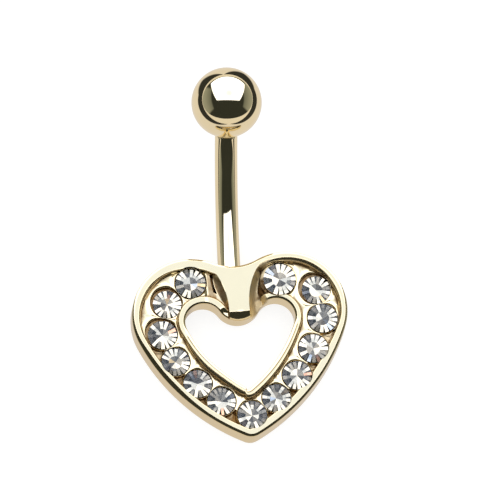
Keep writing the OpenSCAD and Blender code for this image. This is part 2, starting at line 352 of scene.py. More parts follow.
# Painted shade of the wall's foot and how much less each row above has, then of the shoulder from its
# lower to its upper end: the channel wall is painted dark, deepest at its foot
WALL_SHADE = 1.0
WALL_SHADE_FADES = 0.1
SHOULDER_SHADE = (0.9, 0.15)


def inner_lean(v):
    """How far the inner rim leans into the opening."""
    return LEAN * between(v, LEAN_FROM, LEAN_TO)


def rim_form(places, v, drop):
    """Form of a rim at v: crest's end, shoulder's run and drop, and width of the edge's bevel."""
    crest, run, bevel = (np.interp(v, places[:, 0], places[:, k]) for k in (1, 2, 3))
    return crest, run, np.broadcast_to(drop, np.shape(run)), bevel


def outer_form(v):
    """Form of the outer rim: its shoulder drops deepest over the right lobe."""
    return rim_form(OUTER_PLACES, v, OUTER_DROP + LOBE_DROP * between(v, LOBE_FROM, LOBE_TO))


def inner_form(v):
    """Form of the inner rim."""
    return rim_form(INNER_PLACES, v, INNER_DROP)


def foot_distance(form):
    """Distance from a rim's free side to the foot of its channel wall."""
    crest, run, _, _ = form
    return crest + run + WALL_RUN


def rim_section(form, top, groove):
    """Rows of an upstanding rim for each column, as distance from its free side and height: steep
    channel wall, shoulder as a quarter of an ellipse, top with a fine groove, bevelled free edge
    with both its corners rounded, then the free side down to its rounded foot. The third result
    is each row's painted shade, deepest at the foot of the channel wall and in the groove, which also makes
    the metal rougher."""
    crest, run, drop, bevel = (part[:, None] for part in form)

    def side_by_side(*parts):
        return np.concatenate([np.broadcast_to(part, (len(crest), part.shape[1])) for part in parts], 1)

    t = np.linspace(0, 1, WALL_ROWS + 1)[None, :-1]
    wall_d = crest + run + WALL_RUN * (1 - t) ** 2
    wall_z = LAND + t * (top - drop - LAND)
    turn = quarter(SHOULDER_ROWS)[None]
    shoulder_d = crest + run * np.cos(turn)
    shoulder_z = top - drop + drop * np.sin(turn)
    edge = bevel + EDGE_SOFT
    share = np.linspace(0, 1, TOP_ROWS + 2)[None, 1:-1]
    top_d = crest + share * (edge - crest)
    top_z = top - groove[:, None] * (np.arange(TOP_ROWS) == GROOVE_ROW)[None]
    soft = np.linspace(0, EDGE_TILT, EDGE_ROWS - EDGE_ROWS // 2)[None]
    hard = np.linspace(EDGE_TILT, math.pi / 2, EDGE_ROWS // 2)[None]
    upper_d = edge - EDGE_SOFT * np.sin(soft)
    upper_z = top - EDGE_SOFT * (1 - np.cos(soft))
    lower_d = EDGE_HARD * (1 - np.sin(hard))
    fall = (upper_d[:, -1:] - lower_d[:, :1]) * math.tan(EDGE_TILT)
    lower_z = upper_z[:, -1:] - fall + EDGE_HARD * (np.cos(hard) - math.cos(EDGE_TILT))
    side = np.linspace(0, 1, SIDE_ROWS + 2)[None, 1:-1]
    side_z = lower_z[:, -1:] + side * (FOOT_SOFT - lower_z[:, -1:])
    turn = quarter(FOOT_ROWS)[None]
    foot_d = FOOT_SOFT * (1 - np.cos(turn))
    foot_z = FOOT_SOFT * (1 - np.sin(turn))

    dist = side_by_side(wall_d, shoulder_d, top_d, upper_d, lower_d, 0 * side, foot_d)
    z = side_by_side(wall_z, shoulder_z, top_z, upper_z, lower_z, side_z, foot_z)
    painted_shade = np.zeros(dist.shape)
    # Painted shade down the channel wall and up the shoulder
    painted_shade[:, :WALL_ROWS] = WALL_SHADE - WALL_SHADE_FADES * np.arange(WALL_ROWS)
    painted_shade[:, WALL_ROWS:UPPER_ROWS] = np.linspace(*SHOULDER_SHADE, SHOULDER_ROWS)
    # The groove is painted dark by its depth: painted shade
    painted_shade[:, UPPER_ROWS + GROOVE_ROW] = groove / GROOVE
    return dist, z, painted_shade


# Columns of the casting's grid

COLUMN_STEP = 0.085
LEAST_COLUMNS = 3
BRIDGE_COLUMNS = 14
BRIDGE_CROWD = 1.5
FLANK_COLUMNS = 12

# Offsets of the two lines along which the channel's columns are spaced, and the least offset at
# which rows of the outer rim meet the bridge's lines
OUTER_LINE = RIM_WIDTH + 0.1
INNER_LINE = -(INNER_WIDTH + 0.15)
OUTER_HELD = RIM_WIDTH - 0.1

# Places on the outer and the inner outline whose form the rims keep beside the bridge
RIGHT_END = (0.8, 1.0)
LEFT_END = (7.2, 7.0)

# The line beside an end stone starts this far past the flank's foot, at a corner in the channel,
# and clears the seat. It meets the inner rim near a point this far along it.
END_GAP = 0.06
END_CORNER = RIM_WIDTH + 0.15
END_CLEAR = 0.07
END_REACH = 1.5
END_LINE = -(INNER_WIDTH + 0.2)

# Past a flank the columns ease to even spacing over this length, or this many times their shift
EASE_LEAST = 1.4
EASE_SHARE = 2.3

# Length over which a row's way into its rim is taken, and the least rim that a seat leaves
CUT_SAMPLE = 0.4
CUT_LEAST = 0.12


def channel_places():
    """Places of the knots round the channel, on the outer and on the inner outline: the feet of
    the bridge's flanks, a line beside each end stone, and the lines half way between neighbours,
    square to the row."""

    def flank_foot(side, ends):
        return (float(column_on(OUTER, foot_distance(outer_form(ends[0])), np.array(2.0 * side))),
                float(column_on(INNER, -foot_distance(inner_form(ends[1])), np.array(2.0 * side))))

    def beside_seat(side, seat, foot):
        start = foot[0] + END_GAP * side
        corner = heart_point(OUTER, start, END_CORNER)
        gap = seat[:2] - corner
        swing = math.asin((seat[2] + END_CLEAR) / math.hypot(*gap))
        angle = math.atan2(gap[1], gap[0]) - side * swing
        way = np.array([math.cos(angle), math.sin(angle)])
        near = nearest_v(INNER, -INNER_WIDTH, corner + END_REACH * way)
        return start, line_meets(INNER, END_LINE, corner, way, near)

    def halfway(a, b):
        gap = b[:2] - a[:2]
        span = math.hypot(*gap)
        mid = a[:2] + gap * (0.5 + (a[2] - b[2]) / (2 * span))
        square = np.array([-gap[1], gap[0]]) / span
        return [line_meets(arcs, line, mid, square, nearest_v(arcs, line, mid))
                for arcs, line in ((OUTER, OUTER_LINE), (INNER, INNER_LINE))]

    start, end = flank_foot(1, RIGHT_END), flank_foot(-1, LEFT_END)
    knots = [start, beside_seat(1, SEATS[0], start)]
    knots += [halfway(a, b) for a, b in zip(SEATS[:-1], SEATS[1:])]
    knots += [beside_seat(-1, SEATS[-1], end), end]
    return np.array(knots).T


class Columns:
    """Columns of the casting's grid: from the bridge's middle down its right flank, round the
    channel with even spacing between each two knots, and up the left flank. `across` is the
    line down the bridge that a column lies on. `sink` runs from 0 on the bridge's top to 1 at a
    flank's foot and all round the channel."""

    def __init__(self):
        outer_v, inner_v = channel_places()
        self.outer_walk = walk_table(OUTER, OUTER_LINE)
        self.inner_walk = walk_table(INNER, INNER_LINE)
        outer_s = np.interp(outer_v, *self.outer_walk)
        inner_s = np.interp(inner_v, *self.inner_walk)
        counts = np.ceil(np.maximum(np.diff(outer_s), np.diff(inner_s)) / COLUMN_STEP).astype(int)
        knots = np.concatenate([[0], np.cumsum(np.maximum(counts, LEAST_COLUMNS))])
        steps = np.arange(knots[-1] + 1)

        top = 1 - (1 - np.linspace(0, 1, BRIDGE_COLUMNS + 1)) ** BRIDGE_CROWD
        right = np.concatenate([top, 1 + np.linspace(0, 1, FLANK_COLUMNS + 1)[1:]])
        self.across = np.concatenate([right, np.zeros(len(steps) - 2), -right[:0:-1]])
        self.count = len(self.across)
        self.first = len(right) - 1
        self.last = self.first + len(steps) - 1
        self.lines = self.first + knots[1:-1]
        number = np.arange(self.count)
        self.in_channel = (number >= self.first) & (number <= self.last)
        self.on_bridge = (number <= self.first) | (number >= self.last)
        self.sink = np.where(self.in_channel, 1.0, np.clip(np.abs(self.across) - 1, 0, 1))

        channel = slice(self.first, self.last + 1)
        self.base_o, self.base_i = np.zeros((2, self.count))
        self.base_o[channel] = np.interp(np.interp(steps, knots, outer_s), *self.outer_walk[::-1])
        self.base_i[channel] = np.interp(np.interp(steps, knots, inner_s), *self.inner_walk[::-1])

    def form_places(self, base, right, left):
        """Places v whose form the rim has at each column: fixed ones over the bridge."""
        return np.where(base > 0, base, np.where(self.across >= 0, right, left))


def rim_places(cols, dist_o, dist_i):
    """Place v of each row of both rims. Over the bridge a column keeps to its line, and past a
    flank it eases from there to the even spacing by a smooth step, over a length that keeps
    neighbours from crossing."""
    v_o = np.repeat(cols.base_o[:, None], dist_o.shape[1], 1)
    v_i = np.repeat(cols.base_i[:, None], dist_i.shape[1], 1)
    bridge, lines = cols.on_bridge, cols.across[cols.on_bridge, None]
    v_o[bridge] = column_on(OUTER, np.maximum(dist_o[bridge], OUTER_HELD), lines)
    v_i[bridge] = column_on(INNER, -dist_i[bridge], lines)
    for edge, sign in ((cols.first, 1), (cols.last, -1)):
        for v, base, walk in ((v_o, cols.base_o, cols.outer_walk), (v_i, cols.base_i, cols.inner_walk)):
            path = np.interp(base, *walk)
            past = sign * (path - path[edge])
            shift = np.interp(v[edge], *walk) - path[edge]
            length = np.maximum(EASE_LEAST, EASE_SHARE * np.abs(shift))
            ease = 1 - rounded(past[:, None] / length[None, :], (0, 1))
            eased = np.interp(path[:, None] + ease * shift[None, :], *walk[::-1])
            v[:] = np.where((cols.in_channel & (past > 0))[:, None] & (ease > 0), eased, v)
    return v_o, v_i


def cut_by_seats(cols, arcs, v, dist, sign):
    """Distances of a rim's rows, cut back where a seat reaches into the rim's channel side."""
    edge = heart_point(arcs, v, 0.0)
    way = (heart_point(arcs, v, sign * CUT_SAMPLE) - edge) / CUT_SAMPLE
    limit = seat_limit(edge.reshape(-1, 2), way.reshape(-1, 2)).reshape(v.shape)
    limit = np.where(cols.in_channel[:, None], limit, FAR)
    return np.minimum(dist, np.maximum(limit, CUT_LEAST))


# Heights and stains of the casting's grid

LAND_ROWS = 12
BACK_ROWS = 4
SINK_POWER = 1.25
RISE_LENGTH = 0.3

# Painted shade of the two flanks, the share of the rim's painted shade taken off the outer rim over the left
# lobe, and painted shade of the opening's wall
LEFT_FLANK_SHADE = 0.9
LEFT_FLANK_SHADE_FROM = (0.0, 0.12)
RIGHT_FLANK_SHADE = 0.15
LOBE_SHADE_CLEARS = 0.8
LOBE_SHADE_CLEARS_FROM = (6.5, 6.75)
OPENING_SHADE = 0.6
OPENING_SHADE_FROM = (5.9, 6.1)
OPENING_SHADE_TO = (6.35, 6.55)


def rim_heights(cols, z_o, z_i, y_i):
    """Heights of both rims. Over the bridge every row above the land lies on its top, and over a
    flank the rows sink from there to the rims' own form. At the right flank's foot the inner rim
    rises out of the land."""
    sink = 1 - (1 - cols.sink[:, None]) ** SINK_POWER
    flat_o = np.where(np.arange(z_o.shape[1]) < UPPER_ROWS, RIM_TOP, z_o)

    path = np.interp(cols.base_i, *cols.inner_walk)
    rise = rounded(path - path[cols.first], (0, RISE_LENGTH))
    rise = np.where(cols.in_channel, rise, np.where(cols.across > 0, 0.0, 1.0))[:, None]
    row = np.arange(z_i.shape[1])
    below_top = row < len(row) - UPPER_ROWS - TOP_ROWS
    bridge = bridge_top(y_i) - np.where(below_top, INNER_TOP - z_i, 0.0)
    upper = bridge + (LAND + (z_i - LAND) * rise - bridge) * sink
    edge = slice(LOWER_ROWS, LOWER_ROWS + 1)
    lower = z_i * upper[:, edge] / z_i[:, edge]
    return flat_o + (z_o - flat_o) * sink, np.where(row >= LOWER_ROWS, upper, lower)


def rim_painted_shade(cols, shade_o, shade_i):
    """Painted shade of the outer rim, the inner rim, and the land between their feet: the flanks and the
    opening's wall are painted dark.
    """
    clears = LOBE_SHADE_CLEARS * rounded(cols.base_o, LOBE_SHADE_CLEARS_FROM)
    opening_shade = OPENING_SHADE * between(cols.base_i, OPENING_SHADE_FROM, OPENING_SHADE_TO)
    # The opening's wall is painted dark here: painted shade
    shade_o[:, :UPPER_ROWS] *= 1 - clears[:, None]
    shade_i[:, :LOWER_ROWS] = opening_shade[:, None]
    shade_o, shade_i = shade_o * cols.sink[:, None], shade_i * cols.sink[:, None]
    # The bridge's flanks are painted dark, the left one most: painted shade
    left = LEFT_FLANK_SHADE * rounded(cols.sink, LEFT_FLANK_SHADE_FROM)
    flank = np.where(cols.across < 0, left, RIGHT_FLANK_SHADE * cols.sink)
    flank = (flank * ~cols.in_channel)[:, None]
    corner = (cols.across < -1) & ~cols.in_channel
    shade_i[corner, LOWER_ROWS:] = np.maximum(shade_i[corner, LOWER_ROWS:], flank[corner])
    return shade_o, shade_i, np.repeat(flank, LAND_ROWS, 1)


def casting_grid(cols):
    """Points and painted shade of the grid, a row for each place round the section: the outer rim from the
    foot of its channel wall to the back, the back, the inner rim up to the foot of its channel
    wall, and the land or the bridge's top, back to the start."""
    form = outer_form(cols.form_places(cols.base_o, RIGHT_END[0], LEFT_END[0]))
    dist_o, z_o, shade_o = rim_section(form, RIM_TOP, np.zeros(cols.count))
    form = inner_form(cols.form_places(cols.base_i, RIGHT_END[1], LEFT_END[1]))
    groove = GROOVE * between(cols.base_i, GROOVE_FROM, GROOVE_TO)
    dist_i, z_i, shade_i = (part[:, ::-1] for part in rim_section(form, INNER_TOP, groove))
    v_o, v_i = rim_places(cols, dist_o, dist_i)
    xy_o = heart_point(OUTER, v_o, cut_by_seats(cols, OUTER, v_o, dist_o, 1))
    xy_i = heart_point(INNER, v_i, inner_lean(v_i) - cut_by_seats(cols, INNER, v_i, dist_i, -1))
    z_o, z_i = rim_heights(cols, z_o, z_i, xy_i[..., 1])
    shade_o, shade_i, shade_land = rim_painted_shade(cols, shade_o, shade_i)

    share = np.linspace(0, 1, LAND_ROWS + 2)[1:-1][None, :]
    land = xy_i[:, -1:] + (xy_o[:, :1] - xy_i[:, -1:]) * share[..., None]
    lines = bridge_line(land[..., 1], cols.across[:, None])
    land[..., 0] = np.where(cols.on_bridge[:, None], lines, land[..., 0])
    z_land = z_o[:, :1] + (z_i[:, -1:] - z_o[:, :1]) * (1 - share)
    z_land = np.where(cols.in_channel[:, None], LAND, z_land)

    share = np.linspace(0, 1, BACK_ROWS + 2)[1:-1][None, :, None]
    back = xy_o[:, -1:] + (xy_i[:, :1] - xy_o[:, -1:]) * share
    none = np.zeros(back.shape[:2])
    xy = np.concatenate([xy_o, back, xy_i, land], 1)
    z = np.concatenate([z_o, none, z_i, z_land], 1)
    return np.dstack([xy, z]), np.concatenate([shade_o, none, shade_i, shade_land], 1)


# Seats

# The well's rounded lip and the ridge pushed up round it, with the most that each takes of the
# room beside it, and the least wall between a seat and its cell's edge
LIP = 0.05
LIP_SHARE = 0.45
LIP_ROWS = 5
# Painted shade on the lip, fading from the well towards the land
LIP_SHADE = 0.7
SEAT_WALL = 0.008
RIDGE = 0.035
RIDGE_REACH = 0.26
RIDGE_SHARE = 0.92
RIDGE_SKEW = 0.7
RIDGE_ROWS = 6

# The ledge: how far it lies below the girdle, as a share of the stone's radius, how far the floor
# lies below it, how wide it is as a share, and the height of the step round it
LEDGE_DROP = 0.28
FLOOR_DROP = 0.02
LEDGE_STEP = 0.03
LEDGE_REACH = 0.97
# Painted shade halfway up the well's wall; its floor and ledge are painted fully dark
WALL_MID_SHADE = 0.9


def girdle_height(radius):
    """Height of a stone's girdle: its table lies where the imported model's does."""
    return SEAT_FLOOR + SEAT_PLAY + 2 * radius * (PAVILION + STONE_TOP - GIRDLE - CROWN)


def seat_fan(seat, stone_radius, rim, rim_index, at):
    """Rings round a stone's seat. Each spoke runs from the seat's axis to a point of the cell's
    edge: up the cone, up the well's wall, over a rounded lip as wide as there is room for, over a
    low ridge pushed up round the stone, and out over the flat land. The ridge's height is a sine
    of the share of its reach."""
    gap = rim[:, :2] - seat[:2]
    reach = np.linalg.norm(gap, axis=1)
    well = np.minimum(seat[2], reach - SEAT_WALL)
    lip = np.clip((reach - well) * LIP_SHARE, 0, LIP)
    span = np.minimum((reach - well - lip) * RIDGE_SHARE, RIDGE_REACH)
    ledge = girdle_height(stone_radius) - LEDGE_DROP * stone_radius
    floor = ledge - FLOOR_DROP
    # Each ring: distance from the axis, height, and painted shade; the well is painted dark and the painted
    # shade fades over the lip
    rings = [
        (0 * well, floor, 1.0),
        (well / 2, (floor + ledge) / 2, 1.0),
        (LEDGE_REACH * well, ledge, 1.0),
        (well, ledge + LEDGE_STEP, 1.0),
        (well, (ledge + LAND - lip) / 2, WALL_MID_SHADE),
    ]
    rings += [(well + lip * (1 - math.cos(t)), LAND - lip * (1 - math.sin(t)), LIP_SHADE * (1 - math.sin(t)))
              for t in quarter(LIP_ROWS)]
    for share in np.arange(1, RIDGE_ROWS + 1) / RIDGE_ROWS:
        hill = RIDGE * math.sin(math.pi * share ** RIDGE_SKEW) * span / RIDGE_REACH
        rings.append((well + lip + span * share, LAND + hill, 0.0))
    rho, z = (np.stack([np.broadcast_to(ring[k], reach.shape) for ring in rings]) for k in (0, 1))
    points = np.dstack([seat[:2] + (gap / reach[:, None]) * rho[..., None], z])
    index = np.vstack([at + np.arange(rho.size).reshape(rho.shape), rim_index])
    nxt = np.roll(index, -1, 1)
    faces = np.stack([index[:-1], index[1:], nxt[1:], nxt[:-1]], -1).reshape(-1, 4)
    return points.reshape(-1, 3), faces, np.repeat([ring[2] for ring in rings], len(reach))


# Marks of casting and polishing, and painted shade in pits and beside the bridge

# Gaps between neighbours that are open to the outer rim, by the place of their first stone in the
# row, with how deep each is as a share
PITS = {2: 0.5, 3: 0.8, 4: 1.0, 5: 1.0, 6: 1.0, 7: 1.0, 8: 0.9, 9: 0.8}

# How deep a whole pit is, and its spans: away from the seats, out from the row's middle line, and
# aside of the middle between two stones
PIT_DEPTH = 0.42
PIT_CLEAR = (0.03, 0.08)
PIT_FROM = (0.18, 0.32)
PIT_TO = (1.5, 1.7)
PIT_SIDES = (0.75, 1.0)

# Marks beside the bridge: the pit at its right flank, the cut along its left one, and the painted
# shade on the floor beyond that. OUT spans are distances past the flank's foot, UP spans heights y.
GAP_OUT = (0.0, 0.06), (0.6, 0.7)
GAP_UP = (-0.6, -0.3), (1.8, 2.0)
CUT_OUT = (0.0, 0.05), (0.12, 0.18)
CUT_UP = (0.1, 0.4), (1.75, 1.9)
FLOOR_SHADE = 0.75
FLOOR_SHADE_OUT = (0.06, 0.12)
FLOOR_SHADE_SIDE = (2.0, 2.15)
FLOOR_SHADE_UP = (-0.5, -0.35), (1.7, 1.8)

# The matt right flank and the painted shade at its foot. Both lie above LOW_METAL and end over
# PATCH_REACH past the foot. Their OUT spans start at the edge of the bridge's top.
LOW_METAL = 0.75
PATCH_REACH = (0.3, 0.6)
MATT_OUT = (0.0, 0.06)
MATT_UP = 2.3
FOOT_SHADE = 0.35
FOOT_OUT = (0.1, 0.4)
FOOT_UP = (0.6, 0.0)
FOOT_END = -2.3

# The upper half of the seat right of the bridge, where most of the painted shade is taken off: a painted
# highlight
SEAT_PAINTED_LIGHT = 0.8
SEAT_MARGIN = 0.1
SEAT_LOW = 0.9
SEAT_UP = (0.0, 0.5)

# The raised floor left of the bridge, as spans of x and y, and the height z where it starts
FLOOR_RAISE = 0.4
RAISE_SIDE = (-2.4, -2.1), (-1.0, -0.6)
RAISE_UP = (-1.6, -1.0)
RAISE_END = 3
RAISE_LOW = 1.0

# How far the casting sinks beside the bridge's lower end, as shares of its height
RIGHT_SINKS = 0.125
RIGHT_SINK_UP = (1.8, 1.0), (0.1, -0.6)
RIGHT_SINK_OUT = (0.0, 0.5)
RIGHT_SINK_PAST = (0.0, 0.45)
LEFT_SINKS = 0.0875
LEFT_SINK_UP = (-0.9, -1.4)
LEFT_SINK_OUT = (0.0, 0.12), (0.2, 0.9)
SINK_END = -2.6

# The channel's floor is what lies this near to the land's height and this far from the middle
FLOOR_PLAY = RIDGE + 0.001
FLOOR_FROM = 1.5


def pit_depth(xy):
    """How far each point of the channel's floor lies in a pit, from 0 to 1: beyond the row's
    middle line towards the outer rim, between two neighbours, and clear of both their seats. A
    pit lies at the foot of the bridge's right flank as well, and a cut along its left one."""
    clear = np.linalg.norm(xy[:, None, :] - SEATS[None, :, :2], axis=2) - SEATS[None, :, 2]
    free = rounded(clear.min(1), PIT_CLEAR)
    x, y = xy.T
    past = beside_bridge(xy)[1]
    depth = np.where(x > 0, between(past, *GAP_OUT) * between(y, *GAP_UP), 0.0)
    depth = np.where(x < 0, between(past, *CUT_OUT) * between(y, *CUT_UP), depth)
    for place, share in PITS.items():
        a, b = SEATS[place], SEATS[place + 1]
        way = (b[:2] - a[:2]) / math.hypot(*(b[:2] - a[:2]))
        from_mid = xy - (a[:2] + b[:2]) / 2
        near = between(from_mid @ np.array([-way[1], way[0]]), PIT_FROM, PIT_TO)
        near = near * (1 - rounded(np.abs(from_mid @ way), PIT_SIDES))
        depth = np.maximum(depth, share * near * free)
    return depth


def floor_shade_patch(xy):
    """How much painted shade darkens the channel's floor between the bridge's left flank and the stone
    beside it.
    """
    x, y = xy.T
    out = rounded(beside_bridge(xy)[1], FLOOR_SHADE_OUT) * (1 - rounded(-x, FLOOR_SHADE_SIDE))
    return (x < 0) * FLOOR_SHADE * out * between(y, *FLOOR_SHADE_UP)


def matt_patch(points):
    """How matt the metal is: the mop never reaches the bridge's right flank."""
    x, y, z = points.T
    out, past = beside_bridge(points[:, :2])
    near = (x > 0) & (np.abs(y) < MATT_UP) & (z > LOW_METAL)
    return near * rounded(out, MATT_OUT) * (1 - rounded(past, PATCH_REACH))


def raised_beside_bridge(points):
    """How far the floor between stone_01 and the bridge's left flank is left higher than the
    channel's: a share of what each point lacks to the rim's top."""
    x, y, z = points.T
    near = between(x, *RAISE_SIDE) * rounded(y, RAISE_UP) * (y < RAISE_END)
    above = np.clip((z - RAISE_LOW) / (LAND - RAISE_LOW), 0, 1)
    return FLOOR_RAISE * near * above * np.maximum(RIM_TOP - z, 0)


def sunk_beside_bridge(xy):
    """Share of its height by which the casting sinks beside the bridge's lower end: on the right
    the flank's foot runs down to the opening, on the left the rim sinks a little to meet the
    bridge's corner."""
    x, y = xy.T
    out, past = beside_bridge(xy)
    right = RIGHT_SINKS * sum(rounded(y, span) for span in RIGHT_SINK_UP)
    right = right * rounded(out, RIGHT_SINK_OUT) * (1 - rounded(past, RIGHT_SINK_PAST))
    left = LEFT_SINKS * rounded(y, LEFT_SINK_UP) * between(out, *LEFT_SINK_OUT)
    return np.where(x > 0, right, left) * (y > SINK_END)


def mark_casting(points, painted_shades):
    """Moves the points into pits, raises the floor left of the bridge and sinks the casting beside its lower
    end, and returns the painted shade with that of the pits, the floor left of the bridge and the right
    flank's foot added."""
    xy = points[:, :2]
    x, y, z = points.T
    floor = (np.abs(z - LAND) < FLOOR_PLAY) & (np.linalg.norm(xy, axis=1) > FLOOR_FROM)
    pit = np.where(floor, pit_depth(xy), 0.0)
    # Painted shade on the floor left of the bridge
    painted_shades = np.maximum(painted_shades, np.where(floor, floor_shade_patch(xy), 0.0))
    out, past = beside_bridge(xy)
    # Painted shade at the foot of the bridge's right flank
    foot = rounded(out, FOOT_OUT) * (1 - rounded(past, PATCH_REACH)) * rounded(y, FOOT_UP)
    foot = foot * ((x > 0) & (z > LOW_METAL) & (y > FOOT_END))
    painted_shades = np.maximum(painted_shades, FOOT_SHADE * foot)
    # Painted highlight: the upper half of the seat right of the bridge loses most of its painted shade
    seat = SEATS[0]
    inside = (np.linalg.norm(xy - seat[:2], axis=1) < seat[2] + SEAT_MARGIN) & (z > SEAT_LOW)
    painted_shades = painted_shades * (1 - SEAT_PAINTED_LIGHT * inside * rounded(y - seat[1], SEAT_UP))
    points[:, 2] -= PIT_DEPTH * pit
    points[:, 2] += raised_beside_bridge(points)
    points[:, 2] *= 1 - sunk_beside_bridge(points[:, :2])
    # The pits are painted dark by their depth as well: painted shade
    return np.maximum(painted_shades, pit)


def casting_mesh():
    """The cast heart as one closed surface: a grid with a column for each place round the heart
    and a row for each place round the section. The channel's floor is cut out between the two
    end lines, and a fan of rings round each seat fills it. Returns the corners, the faces, and
    each corner's painted shade."""
    cols = Columns()
    grid, painted_shade = casting_grid(cols)
    index = np.arange(painted_shade.size).reshape(painted_shade.shape)
    nxt = np.roll(index, -1, 0)
    quads = np.stack([index, nxt, np.roll(nxt, -1, 1), np.roll(index, -1, 1)], -1)
    inner_foot = index.shape[1] - LAND_ROWS - 1
    keep = np.ones(index.shape, bool)
    keep[cols.lines[0]:cols.lines[-1], inner_foot:] = False

    points, faces, painted_shades = [grid.reshape(-1, 3)], [quads[keep]], [painted_shade.ravel()]
    at = index.size
    for seat, stone, a, b in zip(SEATS, STONES, cols.lines[:-1], cols.lines[1:]):
        loop = np.concatenate([
            index[a:b + 1, 0], index[b, :inner_foot:-1],
            index[a:b + 1, inner_foot][::-1], index[a, inner_foot + 1:],
        ])
        fan = seat_fan(seat, stone[2], points[0][loop], loop, at)
        for whole, part in zip((points, faces, painted_shades), fan):
            whole.append(part)
        at += len(fan[0])
    points, faces, painted_shades = (np.concatenate(parts) for parts in (points, faces, painted_shades))
    return points, faces, mark_casting(points, painted_shades)


# The bar and the ball

# The bar: how deep it is rooted in the rim, how far it dips and leans aside at the notch, how far
# it starts from the notch's middle, and the gap below its belly
BAR_RADIUS = 0.8
BAR_BEND = 12.0
BAR_CHORD = 9.65
BAR_ROOT = 0.25
BAR_DIP = math.radians(8)
BAR_LEAN = math.radians(3.25)
BAR_ASIDE = -0.36
BELLY_GAP = 0.03
BAR_START = np.array([
    BAR_ASIDE, OUTLINE["top"], BELLY_GAP + BAR_RADIUS + BAR_BEND * (1 - math.cos(BAR_DIP))])
BAR_TURN = 2 * math.asin(BAR_CHORD / (2 * BAR_BEND))
BAR_SPOKES = 96
BEND_RINGS = 90
SHOULDER_SOFT = 0.06
SHOULDER_RINGS = 7

# The thread, with the lengths over which its ridge sets in and runs out, and how steep it stands
# and how much of its foot is cut off
THREAD_RADIUS = 0.7
THREAD_LENGTH = 2.6
THREAD_PITCH = 0.3
THREAD_DEPTH = 0.09
THREAD_RINGS = 150
THREAD_PLAY = 0.98
THREAD_TAPERS = (0.25, 0.3)
RIDGE_STEEP = 1.5
RIDGE_SUNK = 0.2
TIP_LENGTH = 0.05
TIP_CHAMFER = 0.06

BALL_RADIUS = 2.5
BALL_GAP = 0.03
BALL_SPOKES = 160
BALL_RINGS = 120
SEAT_SOFT = 0.02

# The ball's blind hole: how far from its end the drill's cone and its full width start, the step
# in its radius at both ends, and the depth of its mouth
HOLE_RADIUS = 0.72
HOLE_DEPTH = 2.95
HOLE_CONE = 0.25
HOLE_SOFT = 0.3
HOLE_STEP = 0.03
MOUTH_DEPTH = 0.04


def bar_frame():
    """Directions at the bar's start on the notch: sideways, along, and up across it."""
    side = np.array([math.cos(BAR_LEAN), -math.sin(BAR_LEAN), 0.0])
    level = np.array([math.sin(BAR_LEAN), math.cos(BAR_LEAN), 0.0])
    up = np.array([0.0, 0.0, 1.0])
    along = level * math.cos(BAR_DIP) - up * math.sin(BAR_DIP)
    rise = up * math.cos(BAR_DIP) + level * math.sin(BAR_DIP)
    return side, along, rise


SIDE, ALONG, RISE = bar_frame()


def bar_line(turn):
    """Centre of the bar and its direction, `turn` radians along the bend."""
    turn = np.asarray(turn, float)[..., None]
    place = BAR_START + BAR_BEND * (np.sin(turn) * ALONG + (1 - np.cos(turn)) * RISE)
    return place, np.cos(turn) * ALONG + np.sin(turn) * RISE


BAR_END, BAR_WAY = bar_line(BAR_TURN)


def spokes(count):
    """Evenly spaced angles round a full turn."""
    return np.arange(count) * FULL_TURN / count


def turned(centres, ways, radius, angles):
    """Rings round a line: each centre plus the radius times the cosine of the angle sideways and
    its sine across the line. A ring has one radius, or one for each angle."""
    across = np.cross(np.broadcast_to(SIDE, ways.shape), ways)
    radius = np.broadcast_to(np.reshape(radius, (len(centres), -1)), (len(centres), len(angles)))
    cos, sin = np.cos(angles)[:, None], np.sin(angles)[:, None]
    return centres[:, None] + radius[..., None] * (cos * SIDE + sin * across[:, None])


def turned_past_end(along, radius, angles):
    """Rings round the straight line that runs on from the bar's end."""
    along = np.asarray(along)[:, None]
    return turned(BAR_END + along * BAR_WAY, np.tile(BAR_WAY, (len(along), 1)), radius, angles)


def tube(rings):
    """Corners of a stack of rings, and the faces between neighbouring rings."""
    index = np.arange(rings.shape[0] * rings.shape[1]).reshape(rings.shape[:2])
    nxt = np.roll(index, -1, 1)
    return rings.reshape(-1, 3), np.stack([index[:-1], nxt[:-1], nxt[1:], index[1:]], -1).reshape(-1, 4)


def bar_mesh():
    """The bar: a circle carried along the bend from its root in the rim to the shoulder, a rounded
    shoulder, then the thread, whose radius is a ridge that climbs one pitch in each turn."""
    angles = spokes(BAR_SPOKES)
    turns = np.linspace(-BAR_ROOT / BAR_BEND, BAR_TURN - SHOULDER_SOFT / BAR_BEND, BEND_RINGS)
    radius = np.concatenate([[0.0], np.full(BEND_RINGS, BAR_RADIUS)])
    body = turned(*bar_line(np.concatenate([turns[:1], turns])), radius, angles)

    core = THREAD_RADIUS - THREAD_DEPTH
    turn = quarter(SHOULDER_RINGS)[1:]
    along = np.append(SHOULDER_SOFT * (np.sin(turn) - 1), 0.0)
    radius = np.append(BAR_RADIUS - SHOULDER_SOFT * (1 - np.cos(turn)), core)
    shoulder = turned_past_end(along, radius, angles)

    end = THREAD_LENGTH - TIP_LENGTH
    along = np.linspace(0.0, end, THREAD_RINGS)[1:]
    phase = along[:, None] / THREAD_PITCH - angles / FULL_TURN
    ridge = np.clip((1 - np.abs(2 * (phase % 1) - 1)) * RIDGE_STEEP - RIDGE_SUNK, 0, 1)
    taper = np.clip(along / THREAD_TAPERS[0], 0, 1) * np.clip((end - along) / THREAD_TAPERS[1], 0, 1)
    radius = core + THREAD_DEPTH * ridge * taper[:, None] * THREAD_PLAY
    thread = turned_past_end(along, radius, angles)

    tip = turned_past_end([THREAD_LENGTH, THREAD_LENGTH], [core - TIP_CHAMFER, 0.0], angles)
    return tube(np.concatenate([body, shoulder, thread, tip]))


